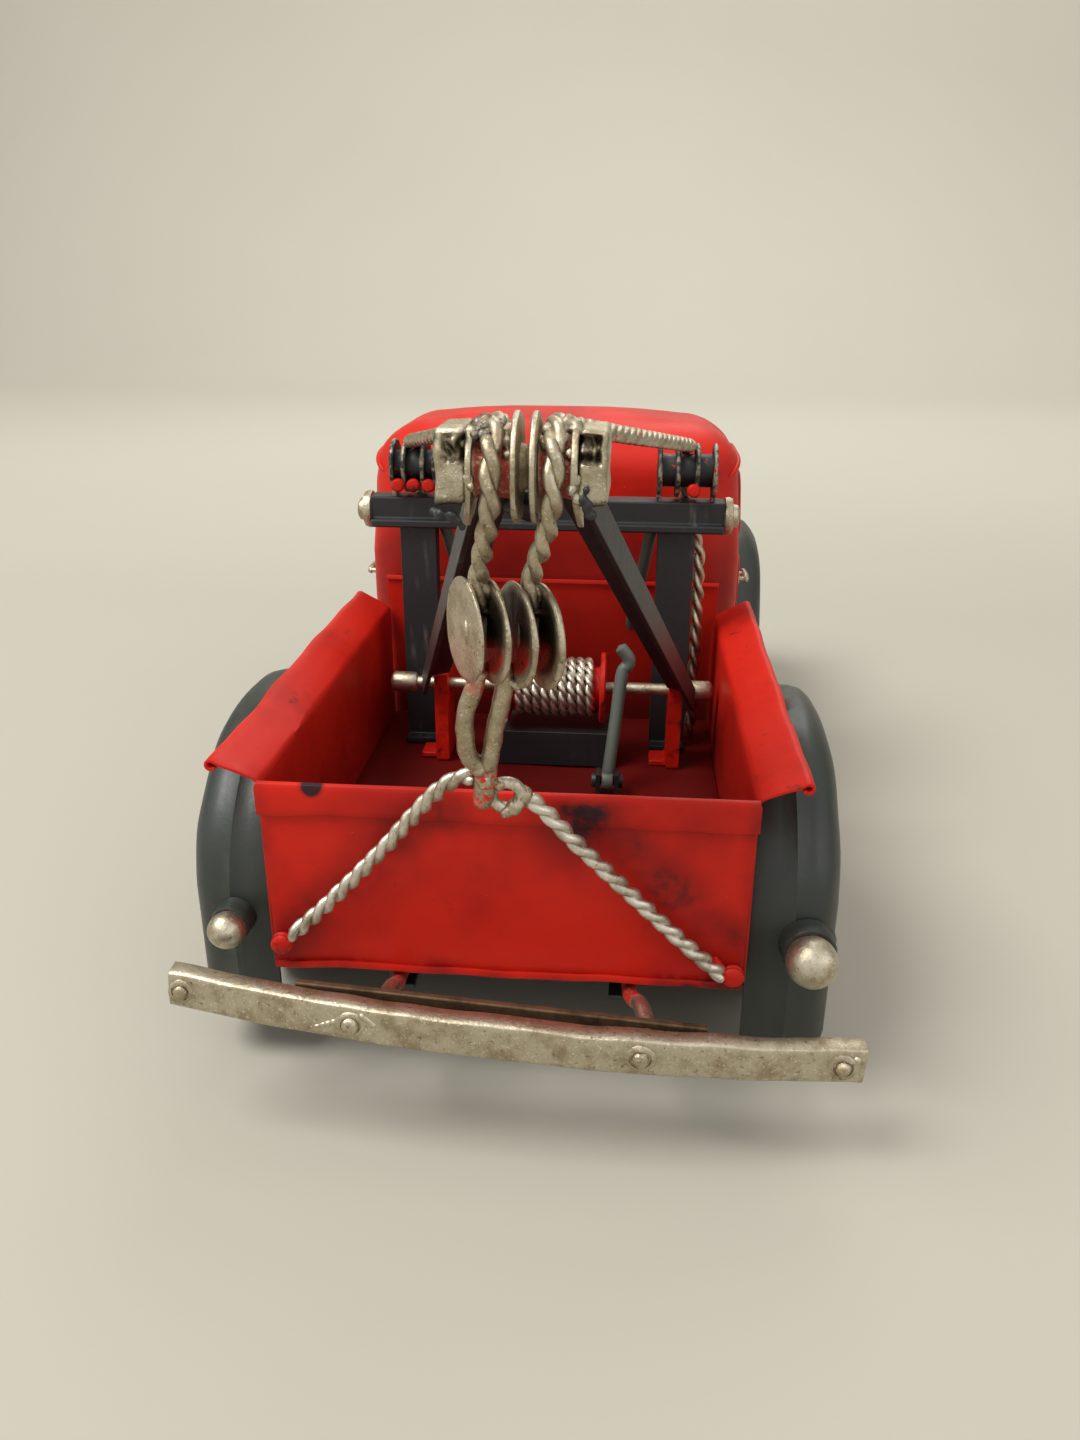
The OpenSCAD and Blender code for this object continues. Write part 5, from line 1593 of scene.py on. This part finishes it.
def door_handles():
    low, high = span("door_handles")
    parts = []
    z = (low.z + high.z) / 2
    grip_x = high.x - 0.55
    for side in (-1, 1):
        grip = [v(side * (grip_x - 0.2 * (2 * k / 12 - 1) ** 2), low.y + (high.y - low.y) * k / 12, z)
                for k in range(13)]
        parts.append(tube(grip, rounded_tip(0.55, 0.12), 14))
        for y in (low.y + 0.6, low.y + 4.2):
            foot = v(side * (cab_half + 0.5), y, z)
            parts.append(turned([(0.85, 0), (0.8, 0.14), (0.45, 0.3), (0.4, 1.2)], foot, (side, 0, 0), 20))
    build("door_handle_castings", *join_parts(parts), silver_plain, "truck", "nickel", 40,
          ["door_handles"])


door_handles()


def seat():
    """The bench: a plain base, a crowned cushion and a back, both with upright channels."""
    low, high = span("seat")
    base_top, cushion_top = 24.6, 28.7
    half, channels = 22, 9

    def channel(x):
        return abs(math.sin(math.pi * channels * (x + half) / (2 * half))) ** 0.5

    def cushion_shape(p):
        crown = (1 - (p.x / half) ** 4) * (1 - ((p.y - 8) / 7.2) ** 4)
        rise = step(p.z, base_top + 2, cushion_top)
        return p + v(0, 0, rise * (0.5 * channel(p.x) * max(crown, 0) - 0.5))

    def back_shape(p):
        rise = step(p.y, low.y + 1.6, low.y + 3.5)
        crown = max(0, (1 - (p.x / half) ** 4)) * (1 - ((p.z - 34.7) / 6.4) ** 4)
        return p + v(0, rise * (0.5 * channel(p.x) * crown - 0.5), 0)
    parts = [rounded_block((1 - half, low.y + 0.1, low.z), (half - 1, low.y + 12, base_top), 0.5, 10),
             rounded_block((-half, low.y, base_top), (half, high.y, cushion_top), 1.3, 46, cushion_shape),
             rounded_block((-half, low.y, cushion_top), (half, low.y + 3.5, high.z), 1.3, 46, back_shape)]
    build("bench_seat", *join_parts(parts), seat_hide, "truck", "seat_hide", 50, ["seat"])


seat()


def steering_wheel():
    """A rim with finger grips, three spokes, a hub and the column."""
    wheel_r = 5.4
    tilt = Matrix.Rotation(math.radians(58), 3, "X")
    at = v(-11, cab_high.y - 13, 40.4)

    def place(x, y, z):
        return at + tilt @ v(x, y, z)
    rim = [place(wheel_r * math.cos(a), wheel_r * math.sin(a), 0.05 * math.cos(16 * a))
           for a in spread(0, math.tau, 64)[:-1]]
    parts = [tube(rim, 0.56, 14, closed=True)]
    for a in (90, 210, 330):
        c, s = math.cos(math.radians(a)), math.sin(math.radians(a))
        parts.append(tube([place(r * c, r * s, -0.35 * math.sin(math.pi * r / wheel_r))
                           for r in spread(0.6, wheel_r, 12)], lambda t: 0.34 + 0.14 * (1 - t), 12))
    axis = tilt @ v(0, 0, 1)
    parts.append(turned([(0.3, -1.2), (0.95, -0.9), (1.2, -0.3), (1.15, 0.2), (0.7, 0.48), (0.2, 0.5)],
                        at, axis, 28))
    reach = (cab_high.y - 0.75 - at.y) / (tilt @ v(0, 0, -1)).y
    parts.append(tube([place(0, 0, -reach * k / 10) for k in range(11)], 0.58, 16))
    build("steering_wheel_and_column", *join_parts(parts), crane_paint, "truck", "black_paint", 45,
          ["steering_wheel"])


steering_wheel()

# ---------------------------------------------------------------- bonnet, grille and lamps

bonnet_low, bonnet_high = span("bonnet")
nose_r = 8
nose_y = bonnet_high.y - nose_r


def blend_rows(a, b, t):
    return [p + (q - p) * t for p, q in zip(a, b)]


def bonnet_section(y):
    """The bonnet's outline across the truck at a place along it, right foot to left foot."""
    t = min((y - bonnet_low.y) / (nose_y - bonnet_low.y), 1)
    cx, cz, r, side_x, side_z, first = blend_rows((13.5, 39.6, 8.4, 23.9, 32, 13.1),
                                                  (nose_r, 35, 8, 16, 35, 0), t)
    if y > nose_y:
        r = math.sqrt(max(nose_r ** 2 - (y - nose_y) ** 2, 0.02))
        side_x = cx + r
    swell = 0.35 * math.sin(math.pi * t)
    half = [(side_x, z) for z in spread(bonnet_low.z, side_z, 6)] + arc(cx, cz, r, first, 90, 12)
    half += [(cx * (1 - k / 6), cz + r + swell * math.sin(math.pi / 2 * k / 6)) for k in range(1, 7)]
    return [v(x, y, z) for x, z in half] + [v(-x, y, z) for x, z in reversed(half[:-1])]


def bonnet_side(y, z):
    """How far out the bonnet's flank is at a place along it and a height."""
    section = [p for p in bonnet_section(y) if p.x > 0]
    return min(section, key=lambda p: abs(p.z - z)).x


def bonnet():
    """The pressing with its mouth cut open, a bead round the mouth and a ridge along the top."""
    reaches = spread(bonnet_low.y, nose_y, 20)
    reaches += [nose_y + nose_r * math.sin(math.radians(a)) for a in range(8, 89, 8)]
    rows = [bonnet_section(y) for y in reaches]
    rows += [[v(p.x * t, bonnet_high.y, bonnet_low.z + (p.z - bonnet_low.z) * (0.3 + 0.7 * t))
              for p in rows[-1]] for t in (0.8, 0.5, 0.2, 0.02)]
    verts, faces = grid(rows)
    piece = build("bonnet_pressing", verts, faces, red, "truck", "red_paint", 60, ["bonnet"])
    apply(piece, "SOLIDIFY", thickness=0.6 * MM, offset=-1, use_even_offset=True)
    finish_mesh(piece)
    mouth = [v(a, 0, 29 + b) for a, b in soft_rectangle(18, 14, 3.2)]
    punch(piece, mouth, v(0, nose_y + 1, 0), v(0, bonnet_high.y + 2, 0))
    finish_mesh(piece, 32)
    surface = BVHTree.FromPolygons(verts, faces)
    parts = [bead(surface, mouth, v(0, -1, 0), 0.5)]
    ridge = []
    for y in spread(bonnet_low.y + 0.8, nose_y + 3.8, 40):
        hit, normal, _, _ = surface.ray_cast(v(0.01, y, 80), v(0, 0, -1))
        ridge.append(hit + normal * 0.05)
    parts.append(tube(ridge, rounded_tip(0.5, 0.03), 10))
    build("bonnet_ridge_and_mouth_bead", *join_parts(parts), red, "truck", "red_paint", 60)


bonnet()


def grille():
    """A red panel between the fenders, four crossbars and an upright strip."""
    low, high = span("grille")
    panel_y = low.y + 0.4
    parts = []
    for i in range(4):
        half, z = 19 - i * 3.4, low.z + 2.4 + i * 4.2
        bar = [v(half * t, panel_y + 1.3 + 0.5 * (1 - t ** 2), z) for t in spread(-1, 1, 24)]
        parts.append(tube(bar, rounded_tip(0.78, 0.05), 14))
    parts.append(rounded_block((-1, panel_y - 0.3, low.z + 1.2), (1, high.y - 0.3, high.z), 0.45, 10))
    build("grille_bars", *join_parts(parts), silver_plain, "truck", "nickel", 45, ["grille"])
    verts, faces = rounded_block((-24, low.y + 0.02, low.z), (24, low.y + 0.78, 23.6), 0.3, 16)
    build("grille_panel", verts, faces, red, "truck", "red_paint", 45)


grille()


def headlamps():
    """Bullet shells on studs, with a dish inside, a rolled rim and a fluted domed lens."""
    low, high = span("headlamp_shells")
    rim_low, rim_high = span("headlamp_rims")
    r = (rim_high.z - rim_low.z) / 2 - 0.5
    z = (rim_low.z + rim_high.z) / 2
    shells, rims, lenses = [], [], []
    for side in (-1, 1):
        at = v(side * (rim_high.x - r - 0.5), high.y, z)
        back = [(r * math.cos(math.radians(a)) + 0.02, -6 - r * math.sin(math.radians(a)))
                for a in range(88, -1, -8)]
        dish = [(r, -0.1), (r - 0.1, 0), (r - 0.7, 0), (r - 0.75, -0.6), (r * 0.72, -2.6), (r * 0.4, -4.2),
                (0.3, -4.7)]
        shells.append(turned(back + dish, at, (0, 1, 0), 48))
        stud = at + v(0, -3, 0)
        shells.append(turned([(1.15, low.z - z), (1.15, -r), (1.9, 0.7 - r), (2.3, 1.2 - r)],
                             stud, (0, 0, 1), 28))
        rims.append(turned([(r - 0.6, 0), (r + 0.35, 0), (r + 0.5, 0.25), (r + 0.45, 0.6), (r + 0.1, 1.0),
                            (r - 0.25, 1.15), (r - 0.55, 1.0), (r - 0.6, 0.5)], at, (0, 1, 0), 56))
        lens_r = r - 0.7
        dome = [(0.2, -0.7), (lens_r, -0.7), (lens_r, 0.0)] + [
            (lens_r * math.cos(math.radians(a)), 1.3 * math.sin(math.radians(a)))
            for a in range(6, 87, 10)]
        lenses.append(turned(dome, at, (0, 1, 0), 48))
    build("headlamp_bullets", *join_parts(shells), fender_paint, "truck", "dark_paint", 50,
          ["headlamp_shells"])
    build("headlamp_bezels", *join_parts(rims), silver_plain, "truck", "nickel", 45, ["headlamp_rims"])
    build("headlamp_glasses", *join_parts(lenses), lamp_glass, "truck", "lamp_glass", 45,
          ["headlamp_lenses"])


headlamps()


def front_bumper():
    low, high = span("front_bumper")
    half = high.x
    r = (half ** 2 + front_bow ** 2) / (2 * front_bow)
    middle_z = (high.z + low.z) / 2
    section = channel_section(high.z - low.z, 1.4)
    rows = []
    for x in spread(0.15 - half, half - 0.15, 80):
        fall_back = r - math.sqrt(r * r - x * x)
        rows.append([v(x, high.y - fall_back - d + waver(v(x, 0, 0), 7, 0.12, 14),
                       middle_z + h + waver(v(x, d, 0), 6, 0.12, 15)) for d, h in section])
    piece = build("front_bumper_channel", *grid(rows), bumper_metal, "truck", "nickel", 60,
                  ["front_bumper"])
    thicken(piece, 0.38, 0.12, 0)


front_bumper()

# ---------------------------------------------------------------- front fenders

for side, word in ((-1, "left"), (1, "right")):
    fender("front_fender_" + word, side, front_outline, front_sections, front_axle_y, 11, True)


def front_aprons():
    """Shelves that close the gap between each front fender and the bonnet's flank."""
    z, nose, outer = 29.75, 73, 24.35
    for side, word in ((-1, "left"), (1, "right")):
        rows = []
        for y in spread(cab_high.y + 0.4, nose, 24):
            inner = bonnet_side(y, z) + 0.05
            rows.append([v(side * (inner + (outer - inner) * t), y, z + 0.15 * math.sin(math.pi * t))
                         for t in spread(0, 1, 6)])
        piece = build("front_apron_" + word, *grid(rows), fender_paint, "truck", "dark_paint", 50)
        thicken(piece, 0.5, 0.1, 0)


front_aprons()

# ---------------------------------------------------------------- wheels


def closed_turning(profile, at, axis, sides, cut=None):
    """A lathed ring whose profile closes on itself; cut(angle step, radius, along) moves it."""
    axis, side, up = axes(axis)
    verts = [at + axis * d + (r - (cut(k, r, d) if cut else 0)) * around(math.tau * k / sides, side, up)
             for r, d in profile for k in range(sides)]
    return verts, ring_faces(len(profile), sides, True)


def tyre(name, body):
    """A treaded tyre: three grooves round it, lugs on both shoulders and ribs on its walls."""
    low, high = span(name)
    at = (low + high) / 2
    r, half, bead_r = (high.z - low.z) / 2, (high.x - low.x) / 2, 7.5
    wall = [(bead_r, half - 0.9), (bead_r + 0.5, half - 0.35), (bead_r + 1.1, half - 0.05),
            (bead_r + 1.6, half - 0.15), (r - 3, half), (r - 2.6, half - 0.02), (r - 2.4, half - 0.22),
            (r - 2.1, half - 0.22), (r - 1.9, half - 0.06), (r - 1.2, half - 0.42),
            (r - 0.6, half - 0.8), (r - 0.28, half - 1.3)]
    tread = [(r - 0.12, 1.7), (r - 0.55, 1.62), (r - 0.55, 1.3), (r - 0.04, 1.2), (r, 0.5),
             (r - 0.5, 0.4)]
    profile = mirrored(wall + tread)

    def lug(k, radius, d):
        shoulder = step(radius, r - 1.4, r - 0.9) * step(abs(d), 1.5, 1.9)
        return 0.42 * shoulder * (k % 4 in (0, 1))
    verts, faces = closed_turning(profile, at, (1, 0, 0), 128, lug)
    build(name + "_tread", verts, faces, tyre_rubber, body, "tyre_rubber", 32, [name])


def wheel(name, body, side):
    """A pressed disc with a rolled rim, a raised ring and a separate domed cap."""
    low, high = span(name)
    rim = (high.z - low.z) / 2
    at = sum(span(name.replace("wheel", "tyre")), Vector()) / 2
    profile = [(1.55, -2.6), (2.9, -2.6), (2.95, -2.4), (2.95, -0.7), (3.1, -0.55), (rim - 1.5, -0.4),
               (rim - 1.2, -0.8), (rim - 0.9, -2.2), (rim - 0.7, -2.45), (rim - 0.1, -2.45), (rim, -2.3),
               (rim, 2.3), (rim - 0.1, 2.45), (rim - 0.7, 2.45), (rim - 0.9, 2.2), (rim - 1.15, 1.0),
               (rim - 1.5, 0.6), (rim - 2.0, 0.75), (rim - 2.4, 1.15), (rim - 2.9, 1.25), (4.2, 1.0),
               (3.6, 1.05), (2.8, 1.3), (1.55, 1.3)]
    verts, faces = closed_turning(profile, at, (side, 0, 0), 80)
    build(name + "_disc", verts, faces, red_wheel, body, "red_paint", 40, [name])
    cap = [(2.6, 0.9), (3.5, 0.95), (3.6, 1.15), (3.45, 1.4), (3.35, 2.0), (3.0, 2.6), (2.4, 3.1),
           (1.5, 3.4), (0.5, 3.5), (0.1, 3.51)]
    build(name + "_cap", *turned(cap, at, (side, 0, 0), 56), silver_plain, body, "nickel", 40)


red_wheel = red_enamel("red_enamel_wheels", None, 18.0)
for end in ("rear", "front"):
    for side, word in ((-1, "left"), (1, "right")):
        tyre(f"tyre_{end}_{word}", f"spin_{end}_{word}")
        wheel(f"wheel_{end}_{word}", f"spin_{end}_{word}", side)

for node, width, material in (
        ("chassis_frame", 0.15, fender_paint), ("running_boards", 0.12, fender_paint),
        ("axles", 0.15, axle_steel), ("gantry_stays", 0.1, lever_paint)):
    soften(node, width, material)
